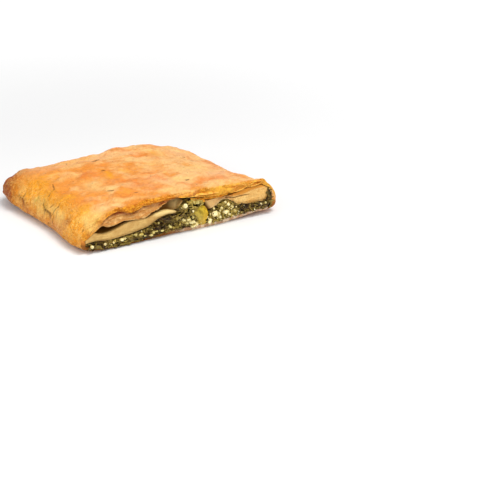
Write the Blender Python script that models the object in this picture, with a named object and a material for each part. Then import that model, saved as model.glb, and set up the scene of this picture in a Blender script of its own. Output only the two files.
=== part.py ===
"""Half of a spinach bougatsa: a flat puff pastry packet cut across, lying on its base.

The cut face looks along -Y, the closed end is at +Y, X runs along the cut and Z is up.
Everything is in metres. The origin is on the surface that the pastry rests on, under its middle.

crust         the browned pastry case: top, base, sides and closed end, open at the cut
inner_pastry  the pale inner sheets between the filling and the top crust
filling       chopped spinach with crumbled white cheese, through the whole piece
"""

import bmesh
import bpy
import numpy as np
from mathutils import Matrix, Vector

COLLECTION = "spinach_bougatsa_half"

# Driving dimensions of the outside
CUT_WIDTH = 0.120  # along the cut, which is the width of the whole pastry
LENGTH = 0.1008  # from the cut to the closed end
CORNER = 0.013  # rounding of the two closed corners, in plan
SIDE_LEAN = (-0.0008, -0.0040)  # how far the left and the right side have moved at the closed end
CENTRE = (0.0593, 0.0501)  # the middle of the outline, from the left end of the cut

# Heights of the top over the table: the corners, and how much more the middle has
CUT_CORNERS = (0.0183, 0.0182)  # left and right end of the cut
END_CORNERS = (0.0146, 0.0138)  # left and right corner of the closed end
CROWN = (0.0040, 0.0064, 0.0062)  # at the cut, halfway and at the closed end
EDGE_LIFT = (0.0006, 0.0020)  # the base's left and right edge, off the table
SWELLS = (  # places where the top is higher or lower: x, y, reach and height
    (0.070, 0.087, 0.010, 0.0018),
    (0.089, 0.083, 0.010, 0.0023),
    (0.018, 0.080, 0.020, 0.0014),
    (0.115, 0.036, 0.024, -0.0032),
    (0.104, 0.066, 0.014, -0.0010),
    (0.028, 0.090, 0.016, -0.0010),
    (0.055, 0.087, 0.011, -0.0022),
    (0.017, 0.087, 0.009, 0.0008),
    (0.113, 0.056, 0.007, 0.0012),
    (0.109, 0.083, 0.008, 0.0011),
)
CORNER_LIFT = (0.0, 0.092, 0.016, 0.0030)  # the curled-up left closed corner: x, y, reach and height
CORNER_TOP = 0.6  # how much of that its upper side rises
TURN_UP = 0.0032  # how far the base curls up at its edges
CUT_WAVE = 0.0007  # how far the base's cut edge waves up

# The case, and the clearance between neighbouring solids
TOP_WALL = 0.0025
BASE_WALL = 0.0018
SIDE_WALL = 0.0024
END_WALL = 0.0060
GAP = 0.0005
THINNEST = 0.0018  # the least room that the inner sheets have
TAPER = 0.020  # the air spaces seen at the cut close over this depth
POCKET = (0.043, 0.064, 0.006)  # but sooner from here to here, with soft edges this wide
POCKET_SHELF, POCKET_TAPER = 0.0022, 0.0040  # there is a level shelf there, then a steep wall

# The heap of filling that has pushed the sheets aside at the cut
HEAP_CENTRE = (0.0655, 0.0003, 0.0112)
HEAP_RADII = (0.0078, 0.0100, 0.0073)
HEAP_LUMPS = 0.08  # share of the radius that its lumps take or give
HEAP_BULGE = 0.0014  # how far it stands out of the cut

# What stands out of the filling's cut face
CRUMBS = 17
CRUMB_RADII = (0.0009, 0.0019)
CRUMB_STANDS_OUT = 0.0016
YELLOW_LUMP = (0.0709, 0.0080, 0.0042, 1.25)  # distance along, height, half width, tallness
LEAVES = 13
LEAF_LENGTHS = (0.004, 0.009)
LEAF_WIDTHS = (0.0015, 0.0030)
LEAF_THICKNESS = 0.0006
LEAF_BENDS = (0.0008, 0.0019)
LEAF_SUNK = 0.0009  # how deep its ends are in the filling
CLEAR = 0.0003  # the small shapes keep this inside the filling's outline
SEED = 5

SKIN_GRID = (32, 24, 2)
INNER_GRID = (28, 10, 1)
CUTTER_REACH = 0.010  # how far the cutters stand out in front of the cut

# Along the cut, (distance from its left end, height over the table)
CEILING = (
    (0.000, 0.0060), (0.004, 0.0080), (0.008, 0.0106), (0.0125, 0.0135), (0.0155, 0.0119),
    (0.0195, 0.0121), (0.025, 0.0135), (0.032, 0.0127), (0.037, 0.0125), (0.0400, 0.0131),
    (0.0412, 0.0147), (0.0446, 0.0153), (0.0468, 0.0162), (0.0495, 0.0181), (0.053, 0.0195),
    (0.056, 0.0197), (0.066, 0.0197), (0.071, 0.0178), (0.076, 0.0162), (0.083, 0.0160),
    (0.088, 0.0163), (0.094, 0.0158), (0.100, 0.0172), (0.111, 0.0174), (0.116, 0.0144),
    (0.120, 0.0110),
)
FILLING_TOP = (
    (0.002, 0.0050), (0.008, 0.0056), (0.016, 0.0044), (0.024, 0.0050), (0.032, 0.0059),
    (0.040, 0.0073), (0.0445, 0.0098), (0.047, 0.0108), (0.0515, 0.0117), (0.056, 0.0112),
    (0.062, 0.0112), (0.072, 0.0108), (0.077, 0.0090), (0.0815, 0.0105), (0.085, 0.0132),
    (0.088, 0.0130), (0.091, 0.0118), (0.094, 0.0092), (0.097, 0.0082), (0.102, 0.0076),
    (0.112, 0.0073), (0.115, 0.0085), (0.118, 0.0105),
)
SHEETS_TOP = (
    (0.004, 0.0080), (0.008, 0.0104), (0.0105, 0.0092), (0.013, 0.0086), (0.017, 0.0090),
    (0.0206, 0.0100), (0.0275, 0.0121), (0.032, 0.0124), (0.037, 0.0122), (0.0402, 0.0122),
    (0.0428, 0.0134), (0.048, 0.0143), (0.0515, 0.0144), (0.0554, 0.0131), (0.058, 0.0122),
    (0.066, 0.0126), (0.072, 0.0136), (0.076, 0.0146), (0.083, 0.0150), (0.090, 0.0148),
    (0.096, 0.0157), (0.100, 0.0167), (0.111, 0.0169), (0.115, 0.0148), (0.118, 0.0124),
)
# Slits that part the thin layers: (distance, height) line, thickness and depth
OUTER_SLIT = ((0.010, 0.0146), (0.017, 0.0179), (0.024, 0.0190), (0.030, 0.0165), (0.037, 0.0190),
              (0.045, 0.0196))
RIGHT_SLIT = ((0.090, 0.0182), (0.098, 0.0188), (0.106, 0.0186), (0.112, 0.0182))
BAND_SLIT = ((0.089, 0.0129), (0.095, 0.0131), (0.102, 0.0129))
SLIT_THICKNESS = 0.0008
SLIT_DEPTH = 0.0050
# Flakes of crust that stand out of the cut: the same kind of lines, and how far they stand out
FLAKES = (
    (((0.013, 0.0170), (0.019, 0.0198), (0.025, 0.0188), (0.031, 0.0194), (0.038, 0.0206),
      (0.047, 0.0208), (0.056, 0.0209)), 0.0012),
    (((0.013, 0.0146), (0.019, 0.0136), (0.027, 0.0150), (0.035, 0.0139), (0.040, 0.0153),
      (0.046, 0.0173), (0.050, 0.0190)), 0.0006),
    (((0.066, 0.0206), (0.073, 0.0200), (0.080, 0.0188), (0.087, 0.0186)), 0.0011),
    (((0.089, 0.0196), (0.097, 0.0200), (0.104, 0.0194), (0.112, 0.0190)), 0.0014),
)
FLAKE_THICKNESS = 0.0008
FLAKE_ROOT = 0.0020  # how deep in the crust a flake starts


def ease(t):
    """A soft step from 0 to 1."""
    t = np.clip(t, 0.0, 1.0)
    return t * t * (3.0 - 2.0 * t)


def mix(a, b, share):
    return a + (b - a) * share


def along(x, knots, soft=0.0012):
    """A softened line through (x, value) knots."""
    at, value = np.array(knots).T
    return np.mean([np.interp(x + shift, at, value) for shift in np.linspace(-soft, soft, 5)], axis=0)


def ripple(x, y, wave, seed, count=7):
    """Smooth unevenness between about -1 and 1, with waves about this long."""
    rng = np.random.default_rng(seed)
    total = np.zeros(np.broadcast(x, y).shape)
    for _ in range(count):
        turn, phase = rng.uniform(0.0, 2.0 * np.pi, 2)
        pace = 2.0 * np.pi / (wave * rng.uniform(0.7, 1.5))
        total += np.sin(pace * (x * np.cos(turn) + y * np.sin(turn)) + phase)
    return total / np.sqrt(count)


# The outside form. u is the share across, from left to right, and v the share towards the end.


def plan(u, v):
    """Where the shares u and v lie on the table, from the left end of the cut."""
    x, y = u * CUT_WIDTH, v * LENGTH
    inner_x = np.clip(x, CORNER, CUT_WIDTH - CORNER)
    inner_y = np.minimum(y, LENGTH - CORNER)
    dx, dy = x - inner_x, y - inner_y
    longest = np.maximum(abs(dx), abs(dy))
    shrink = np.where((dx != 0) & (dy > 0), longest / np.maximum(np.hypot(dx, dy), 1e-9), 1.0)
    x, y = inner_x + dx * shrink, inner_y + dy * shrink
    across, deep = x / CUT_WIDTH, y / LENGTH
    lean = mix(SIDE_LEAN[0], SIDE_LEAN[1], across) * deep
    waist = 0.0014 * (2 * across - 1) * ripple(y, 0.05 * across, 0.075, 3) * ease(y / 0.02)
    sway = 0.0008 * ripple(x, 0.0, 0.060, 8) * ease(2 * deep - 1)
    return x + lean + waist, y + sway


def inward(u, v, left, right, end):
    """0 on the outline, and 1 from these distances inward on."""
    shares = np.stack([u * CUT_WIDTH / left, (1 - u) * CUT_WIDTH / right, (1 - v) * LENGTH / end])
    return np.clip((np.maximum(shares, 1e-6) ** -5.0).sum(axis=0) ** -0.2, 0.0, 1.0)


def full_height(u, v):
    """The top's height where the rounding of the edges is over."""
    corners = mix(mix(*CUT_CORNERS, u), mix(*END_CORNERS, u), v)
    crown = CROWN[0] * (1 - v) ** 2 + 2 * CROWN[1] * v * (1 - v) + CROWN[2] * v**2
    arch = np.maximum(np.sin(np.pi * u), 0.0) ** (0.5 + 0.5 * v)
    x, y = u * CUT_WIDTH, v * LENGTH
    uneven = 0.0005 * ripple(x, y, 0.032, 21) + 0.0003 * ripple(x, y, 0.013, 22)
    for at_x, at_y, reach, height in SWELLS:
        uneven = uneven + height * np.exp(-((x - at_x) ** 2 + (y - at_y) ** 2) / reach**2)
    return corners + crown * arch + uneven


def corner_lift(u, v):
    """How far the left closed corner has curled up off the table."""
    x, y, reach, height = CORNER_LIFT
    return height * np.exp(-(((u * CUT_WIDTH - x) / reach) ** 2 + ((v * LENGTH - y) / reach) ** 2))


def skin_top(u, v):
    """Height of the crust's upper side."""
    front = 1 - ease(v / 0.35)
    left = 1 - ease(u / 0.25)
    right = ease((u - 0.75) / 0.25)
    roundness = 1.85 - 0.35 * front * left
    near = inward(u, v, 0.012 + 0.009 * front, np.full_like(u, 0.010), np.full_like(u, 0.013))
    rise = (1 - (1 - near) ** roundness) ** (1 / roundness)
    drop = 0.58 - 0.08 * right
    return full_height(u, v) * (1 - drop * (1 - rise)) + CORNER_TOP * corner_lift(u, v)


def skin_base(u, v):
    """Height of the crust's underside: flat on the table, curled up at the edges."""
    near = inward(u, v, *(np.full_like(u, 0.006) for _ in range(3)))
    curl = TURN_UP * (1 - np.sqrt(1 - (1 - near) ** 2))
    lift = EDGE_LIFT[0] * (1 - ease(u / 0.16)) + EDGE_LIFT[1] * ease((u - 0.70) / 0.22)
    wave = np.maximum(ripple(u * CUT_WIDTH, 0.0, 0.024, 12), 0.0) * (1 - ease(v / 0.08))
    return curl + lift + corner_lift(u, v) + CUT_WAVE * wave


# The inside


def floor(u, v):
    return skin_base(u, v) + BASE_WALL


def at_depth(u, v, line, inside):
    """This line at the cut, which gives way to the inside height."""
    x, (left, right, soft) = u * CUT_WIDTH, POCKET
    pocket = ease((x - left) / soft + 0.5) * ease((right - x) / soft + 0.5)
    deep = (v * LENGTH - POCKET_SHELF * pocket) / mix(TAPER, POCKET_TAPER, pocket)
    return mix(along(x, line), inside, ease(deep))


def ceiling(u, v):
    top = skin_top(u, v)
    wall_at_cut = skin_top(u, np.zeros_like(v)) - along(u * CUT_WIDTH, CEILING)
    return top - mix(np.maximum(wall_at_cut, 0.0015), TOP_WALL, ease(v * LENGTH / TAPER))


def filling_top(u, v):
    low, high = floor(u, v) + GAP, ceiling(u, v)
    return np.minimum(at_depth(u, v, FILLING_TOP, mix(low, high, 0.55)), high - THINNEST)


def sheets_top(u, v):
    high = ceiling(u, v) - GAP
    return np.minimum(at_depth(u, v, SHEETS_TOP, high), high)


# Building blocks


def finish(name, bm, colour, roughness):
    """An object of this name and material in the part's collection."""
    bmesh.ops.recalc_face_normals(bm, faces=bm.faces)
    mesh = bpy.data.meshes.new(name)
    bm.to_mesh(mesh)
    bm.free()
    body = bpy.data.objects.new(name, mesh)
    part.objects.link(body)
    if colour:
        material = bpy.data.materials.new(name)
        material.use_nodes = True
        shader = material.node_tree.nodes["Principled BSDF"]
        shader.inputs["Base Color"].default_value = (*colour, 1.0)
        shader.inputs["Roughness"].default_value = roughness
        mesh.materials.append(material)
    return body


def grid_block(counts, place):
    """A cube in cells, whose points (a, b, c) in 0..1 go where place puts them."""
    bm = bmesh.new()
    bmesh.ops.create_cube(bm, size=1.0, matrix=Matrix.Translation((0.5, 0.5, 0.5)))
    for axis, count in enumerate(counts):
        edges = [e for e in bm.edges if abs(e.verts[0].co[axis] - e.verts[1].co[axis]) > 1e-4]
        bmesh.ops.subdivide_edges(bm, edges=edges, cuts=count - 1, use_grid_fill=True)
    for face in list(bm.faces):
        by_place = sorted(face.verts, key=lambda v: v.co.x + v.co.y)
        if abs(face.normal.z) > 0.5:
            bmesh.utils.face_split(face, by_place[0], by_place[-1])
    points = np.array([v.co for v in bm.verts])
    for vert, point in zip(bm.verts, np.array(place(*points.T)).T):
        vert.co = point
    bmesh.ops.triangulate(bm, faces=bm.faces)
    return bm


def spread(a):
    """Even shares drawn towards both ends, where the form bends most."""
    return mix(a, 0.5 - 0.5 * np.cos(np.pi * a), 0.6)


def to_table(u, v, z):
    x, y = plan(u, v)
    return x - CENTRE[0], y - CENTRE[1], z


def place_skin(a, b, c):
    u, v = spread(a), spread(b)
    x, y, z = to_table(u, v, mix(skin_base(u, v), skin_top(u, v), c))
    lip = 0.0006 * ripple(x, 0.0, 0.012, 31) - 0.0004
    return x, y + np.where(b < 1e-4, lip * c, 0.0), z


def inner_place(low, high, inset, front, rows_in_front=0):
    """Places a block between two heights, this much inside the case's cavity."""
    side, end = SIDE_WALL + inset, END_WALL + inset
    rows = INNER_GRID[1]

    def place(a, b, c):
        u = mix(side / CUT_WIDTH, 1 - side / CUT_WIDTH, spread(a))
        deep = np.maximum((b * (rows + rows_in_front) - rows_in_front) / rows, 0.0)
        v = (1 - end / LENGTH) * (0.4 * deep + 0.6 * deep**2)
        x, y, z = to_table(u, v, mix(low(u, v), high(u, v), c))
        return x, np.where(b < 1e-4, y + front(x), y), z

    return place


def slit(name, line):
    """A thin wavy plate along a line at the cut, to part two layers."""

    def place(a, b, c):
        x = mix(line[0][0], line[-1][0], a)
        y = mix(-CUTTER_REACH, SLIT_DEPTH * (0.35 + 0.65 * np.sin(np.pi * a)), b)
        thick = SLIT_THICKNESS * (0.25 + 0.75 * np.sin(np.pi * a)) * (1 - 0.6 * b)
        return x - CENTRE[0], y - CENTRE[1], along(x, line) + (c - 0.5) * thick

    return finish(name, grid_block((16, 1, 1), place), None, 0.0)


def flake(name, line, stands_out):
    """A thin ragged plate along a line at the cut, curling up a little in front of it."""

    def place(a, b, c):
        x = mix(line[0][0], line[-1][0], a)
        ragged = 0.75 + 0.25 * ripple(x, 0.0, 0.006, 71)
        y = mix(-stands_out * ragged * np.sin(np.pi * (0.1 + 0.8 * a)), FLAKE_ROOT, b)
        z = along(x, line) + 0.0004 * (1 - b) * ripple(x, 0.0, 0.009, 72)
        return x - CENTRE[0], y - CENTRE[1], z + (c - 0.5) * FLAKE_THICKNESS * (0.5 + 0.5 * b)

    return finish(name, grid_block((20, 1, 1), place), None, 0.0)


def heap(name, margin):
    """The heap of filling, or with a margin the seat that it needs."""
    bm = bmesh.new()
    bmesh.ops.create_uvsphere(bm, u_segments=20, v_segments=12, radius=1.0)
    for vert in bm.verts:
        depth = HEAP_RADII[1] if vert.co.y > 0 else HEAP_BULGE
        lumps = 1 + HEAP_LUMPS * ripple(vert.co.x + vert.co.y, vert.co.z, 1.1, 61)
        radii = Vector((HEAP_RADII[0], depth, HEAP_RADII[2])) * lumps + Vector((margin,) * 3)
        vert.co = vert.co * radii + Vector(HEAP_CENTRE) - Vector((*CENTRE, 0.0))
    return finish(name, bm, None, 0.0)


def filling_room(x):
    """The lowest and highest point that filling can have at the cut, this far along it."""
    u, v = np.array([x / CUT_WIDTH]), np.zeros(1)
    share = np.clip((x - HEAP_CENTRE[0]) / HEAP_RADII[0], -1.0, 1.0)
    heap_top = HEAP_CENTRE[2] + HEAP_RADII[2] * np.sqrt(1 - share**2)
    on_heap = heap_top if abs(share) < 0.98 else 0.0
    return (floor(u, v) + GAP + CLEAR)[0], max(filling_top(u, v)[0], on_heap) - CLEAR


def crumb(name, x, z, radius, tall=1.0, lean=0.0):
    """A rounded lump of cheese in the cut face, standing half out of it."""
    bm = bmesh.new()
    bmesh.ops.create_uvsphere(bm, u_segments=7, v_segments=6, radius=1.0)
    for vert in bm.verts:
        vert.co = vert.co * Vector((radius, min(radius, CRUMB_STANDS_OUT), radius * tall))
        vert.co.x += lean * vert.co.z
    return fit_in_room(name, bm, x, z)


def leaf(name, x, z, length, width, turn, bend):
    """A thin bent shred of leaf, lying against the cut face."""

    def place(a, b, c):
        out = bend * np.sin(np.pi * a) + LEAF_THICKNESS * b - LEAF_SUNK
        along_leaf, across_leaf = (a - 0.5) * length, (c - 0.5) * width * np.sin(np.pi * (0.15 + 0.7 * a))
        flat = np.stack([along_leaf, across_leaf])
        shift_x = np.cos(turn) * flat[0] - np.sin(turn) * flat[1]
        shift_z = np.sin(turn) * flat[0] + np.cos(turn) * flat[1]
        return shift_x, -out, shift_z

    return fit_in_room(name, grid_block((3, 1, 1), place), x, z)


def fit_in_room(name, bm, x, z):
    """Moves a small shape to its place in the cut face, and keeps it clear of the layers."""
    for vert in bm.verts:
        low, high = filling_room(x + vert.co.x)
        middle, half = (low + high) / 2, (high - low) / 2
        vert.co.z = middle + half * np.tanh((z + vert.co.z - middle) / half)
        vert.co.x += x - CENTRE[0]
        vert.co.y -= CENTRE[1]
    return finish(name, bm, None, 0.0)


def apply_boolean(body, operation, others):
    """Cuts these objects out of the body, or joins them to it, and removes them."""
    tools = bpy.data.collections.new(body.name + "_tools")
    bpy.context.scene.collection.children.link(tools)
    for other in others:
        part.objects.unlink(other)
        tools.objects.link(other)
    modifier = body.modifiers.new(operation.lower(), "BOOLEAN")
    modifier.operation = operation
    modifier.operand_type = "COLLECTION"
    modifier.collection = tools
    modifier.solver = "EXACT"
    evaluated = body.evaluated_get(bpy.context.evaluated_depsgraph_get())
    mesh = bpy.data.meshes.new_from_object(evaluated)
    body.modifiers.clear()
    body.data = mesh
    for other in others:
        bpy.data.objects.remove(other)
    bpy.data.collections.remove(tools)


# The pieces


def make_crust():
    crust = finish("crust", grid_block(SKIN_GRID, place_skin), (0.72, 0.36, 0.10), 0.5)
    flakes = [flake(f"flake_{index}", *shape) for index, shape in enumerate(FLAKES)]
    apply_boolean(crust, "UNION", flakes)
    cavity_place = inner_place(floor, ceiling, 0.0, lambda x: -CUTTER_REACH, rows_in_front=1)
    across, deep, layers = INNER_GRID
    cavity = finish("cavity", grid_block((across, deep + 1, layers), cavity_place), None, 0.0)
    apply_boolean(crust, "DIFFERENCE", [cavity, slit("outer", OUTER_SLIT), slit("right", RIGHT_SLIT)])
    return crust


def make_inner_pastry():
    def underside(u, v):
        return filling_top(u, v) + GAP

    place = inner_place(underside, sheets_top, GAP, lambda x: 0.0004 * ripple(x, 0.0, 0.02, 41))
    sheets = finish("inner_pastry", grid_block(INNER_GRID, place), (0.70, 0.52, 0.30), 0.6)
    apply_boolean(sheets, "DIFFERENCE", [heap("heap_seat", GAP), slit("band", BAND_SLIT)])
    return sheets


def make_filling():
    def underside(u, v):
        return floor(u, v) + GAP

    place = inner_place(underside, filling_top, GAP, lambda x: 0.0004 * ripple(x, 0.0, 0.007, 51))
    filling = finish("filling", grid_block(INNER_GRID, place), (0.10, 0.13, 0.03), 0.6)
    random = np.random.default_rng(SEED)
    x, z, radius, tall = YELLOW_LUMP
    pieces = [heap("heap", 0.0), crumb("yellow_lump", x, z, radius, tall, lean=-0.15)]
    for index in range(CRUMBS):
        x = 0.006 + 0.108 * (index + random.uniform(0.2, 0.8)) / CRUMBS
        low, high = filling_room(x)
        radius = min(random.uniform(*CRUMB_RADII), 0.42 * (high - low))
        z = random.uniform(low + radius, high - radius)
        pieces.append(crumb(f"crumb_{index}", x, z, radius, random.uniform(0.8, 1.1)))
    for index in range(LEAVES):
        x = 0.010 + 0.100 * (index + random.uniform(0.1, 0.9)) / LEAVES
        low, high = filling_room(x)
        size = random.uniform(*LEAF_LENGTHS), random.uniform(*LEAF_WIDTHS)
        turn, bend = random.uniform(-0.9, 0.9), random.uniform(*LEAF_BENDS)
        pieces.append(leaf(f"leaf_{index}", x, random.uniform(low, high), *size, turn, bend))
    apply_boolean(filling, "UNION", pieces)
    return filling


for old in list(bpy.data.objects):
    bpy.data.objects.remove(old)
part = bpy.data.collections.new(COLLECTION)
bpy.context.scene.collection.children.link(part)
for make in (make_crust, make_inner_pastry, make_filling):
    for polygon in make().data.polygons:
        polygon.use_smooth = False
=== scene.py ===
"""The looks of half a spinach bougatsa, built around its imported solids.

The pastry lies on its base. The cut looks along -Y, the closed end is at +Y, X runs along the cut.
Forms are worked out in the cut's own frame, from the left end of the cut, and moved to the row's
frame at the end. All lengths are in metres.
"""

import itertools

import bmesh
import bpy
import numpy as np
from mathutils import Matrix, Vector


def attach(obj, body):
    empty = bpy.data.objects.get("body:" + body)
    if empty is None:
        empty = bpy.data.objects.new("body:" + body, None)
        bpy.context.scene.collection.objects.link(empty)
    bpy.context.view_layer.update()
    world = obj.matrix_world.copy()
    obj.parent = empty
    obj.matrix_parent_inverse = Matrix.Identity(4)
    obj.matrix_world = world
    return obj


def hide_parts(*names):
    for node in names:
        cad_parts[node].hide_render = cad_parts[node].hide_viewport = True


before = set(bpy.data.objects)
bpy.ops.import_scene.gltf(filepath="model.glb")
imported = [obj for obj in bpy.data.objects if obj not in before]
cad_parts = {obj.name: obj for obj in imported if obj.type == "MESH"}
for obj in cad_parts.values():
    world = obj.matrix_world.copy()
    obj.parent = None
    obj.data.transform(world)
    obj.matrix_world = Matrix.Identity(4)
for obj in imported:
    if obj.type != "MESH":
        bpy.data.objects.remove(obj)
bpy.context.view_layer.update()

# ---------------------------------------------------------------- sizes, as the solids have them

CUT_WIDTH = 0.120  # along the cut
LENGTH = 0.1008  # from the cut to the closed end
CORNER = 0.013  # rounding of the two closed corners, in plan
SIDE_LEAN = (-0.0008, -0.0040)  # how far the left and the right side have moved at the closed end
CENTRE = (0.0593, 0.0501)  # the middle of the outline, from the left end of the cut

# Heights of the top over the table: the corners, and how much more the middle has
CUT_CORNERS = (0.0183, 0.0182)  # left and right end of the cut
END_CORNERS = (0.0146, 0.0138)  # left and right corner of the closed end
CROWN = (0.0040, 0.0064, 0.0062)  # at the cut, halfway and at the closed end
EDGE_LIFT = (0.0006, 0.0020)  # the base's left and right edge, off the table
SWELLS = (  # places where the top is higher or lower: x, y, reach and height
    (0.070, 0.087, 0.010, 0.0018),
    (0.089, 0.083, 0.010, 0.0023),
    (0.018, 0.080, 0.020, 0.0014),
    (0.115, 0.036, 0.024, -0.0032),
    (0.104, 0.066, 0.014, -0.0010),
    (0.028, 0.090, 0.016, -0.0010),
    (0.055, 0.087, 0.011, -0.0022),
    (0.017, 0.087, 0.009, 0.0008),
    (0.113, 0.056, 0.007, 0.0012),
    (0.109, 0.083, 0.008, 0.0011),
)
CORNER_LIFT = (0.0, 0.092, 0.016, 0.0030)  # the curled-up left closed corner: x, y, reach and height
CORNER_TOP = 0.6  # how much of that its upper side rises
TURN_UP = 0.0032  # how far the base curls up at its edges
CUT_WAVE = 0.0007  # how far the base's cut edge waves up

TOP_WALL = 0.0025
BASE_WALL = 0.0018
SIDE_WALL = 0.0024
END_WALL = 0.0060
GAP = 0.0003  # between neighbouring pieces, a little less than between the solids
THINNEST = 0.0018  # the least room that the inner sheets have
TAPER = 0.020  # the air spaces seen at the cut close over this depth
POCKET = (0.0430, 0.0640, 0.006)  # but sooner behind the tongue: from here to here, with soft edges this wide
POCKET_SHELF, POCKET_TAPER = 0.0022, 0.0040  # there is a level shelf there, then a steep wall

# The heap of filling that has pushed the sheets aside at the cut
HEAP_CENTRE = (0.0655, 0.0003, 0.0112)
HEAP_RADII = (0.0078, 0.0100, 0.0073)

# Lines at the cut: (distance from its left end, height over the table)
CEILING = (
    (0.000, 0.0060), (0.004, 0.0080), (0.008, 0.0106), (0.0125, 0.0135), (0.0155, 0.0119),
    (0.0195, 0.0121), (0.025, 0.0135), (0.032, 0.0127), (0.037, 0.0125), (0.0400, 0.0131),
    (0.0412, 0.0147), (0.0446, 0.0153), (0.0468, 0.0162), (0.0495, 0.0181), (0.053, 0.0195),
    (0.056, 0.0197), (0.066, 0.0197), (0.071, 0.0178), (0.076, 0.0162), (0.083, 0.0160),
    (0.088, 0.0163), (0.094, 0.0158), (0.100, 0.0172), (0.111, 0.0174), (0.116, 0.0144),
    (0.120, 0.0110),
)
FILLING_TOP = (
    (0.002, 0.0050), (0.008, 0.0056), (0.016, 0.0044), (0.024, 0.0050), (0.032, 0.0059),
    (0.040, 0.0073), (0.0445, 0.0098), (0.047, 0.0108), (0.0515, 0.0117), (0.056, 0.0112),
    (0.062, 0.0112), (0.072, 0.0108), (0.077, 0.0090), (0.0815, 0.0105), (0.085, 0.0132),
    (0.088, 0.0130), (0.091, 0.0118), (0.094, 0.0092), (0.097, 0.0082), (0.102, 0.0076),
    (0.112, 0.0073), (0.115, 0.0085), (0.118, 0.0105),
)
SHEETS_TOP = (
    (0.004, 0.0080), (0.008, 0.0104), (0.0105, 0.0092), (0.013, 0.0086), (0.017, 0.0090),
    (0.0206, 0.0100), (0.0275, 0.0121), (0.032, 0.0124), (0.037, 0.0122), (0.0402, 0.0122),
    (0.0428, 0.0134), (0.048, 0.0143), (0.0515, 0.0144), (0.0554, 0.0131), (0.058, 0.0122),
    (0.066, 0.0126), (0.072, 0.0136), (0.076, 0.0146), (0.083, 0.0150), (0.090, 0.0148),
    (0.096, 0.0157), (0.100, 0.0167), (0.111, 0.0169), (0.115, 0.0148), (0.118, 0.0124),
)
# Finer ones that the solids don't have: the crust's upper rim, and the lower edge of its lip
RIM = (
    (0.0153, 0.0194), (0.0191, 0.0212), (0.0224, 0.0221), (0.0255, 0.0204), (0.0296, 0.0211),
    (0.0337, 0.0216), (0.0378, 0.0224), (0.0474, 0.0223), (0.0536, 0.0225), (0.0583, 0.0222),
    (0.0629, 0.0214), (0.0677, 0.0212), (0.0709, 0.0222), (0.0737, 0.0226), (0.0775, 0.0213),
    (0.0869, 0.0210), (0.0979, 0.0208), (0.1091, 0.0198), (0.1125, 0.0203), (0.1147, 0.0184),
)
LIP = (
    (0.0017, 0.0045), (0.0027, 0.0084), (0.0077, 0.0114), (0.0110, 0.0139), (0.0136, 0.0166),
    (0.0168, 0.0183), (0.0201, 0.0192), (0.0239, 0.0194), (0.0271, 0.0177), (0.0303, 0.0166),
    (0.0336, 0.0177), (0.0370, 0.0194), (0.0406, 0.0197), (0.0473, 0.0193), (0.0510, 0.0194),
    (0.0541, 0.0201), (0.0566, 0.0197), (0.0660, 0.0197), (0.0710, 0.0178), (0.0760, 0.0162),
    (0.0830, 0.0160), (0.0880, 0.0163), (0.0905, 0.0148), (0.0960, 0.0160), (0.1001, 0.0172),
    (0.1110, 0.0174), (0.1160, 0.0144), (0.1200, 0.0110),
)

# ---------------------------------------------------------------- marks on the crust
# Each runs from one point to another, both (x, y, z) in millimetres, with its reach and strength

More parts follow.
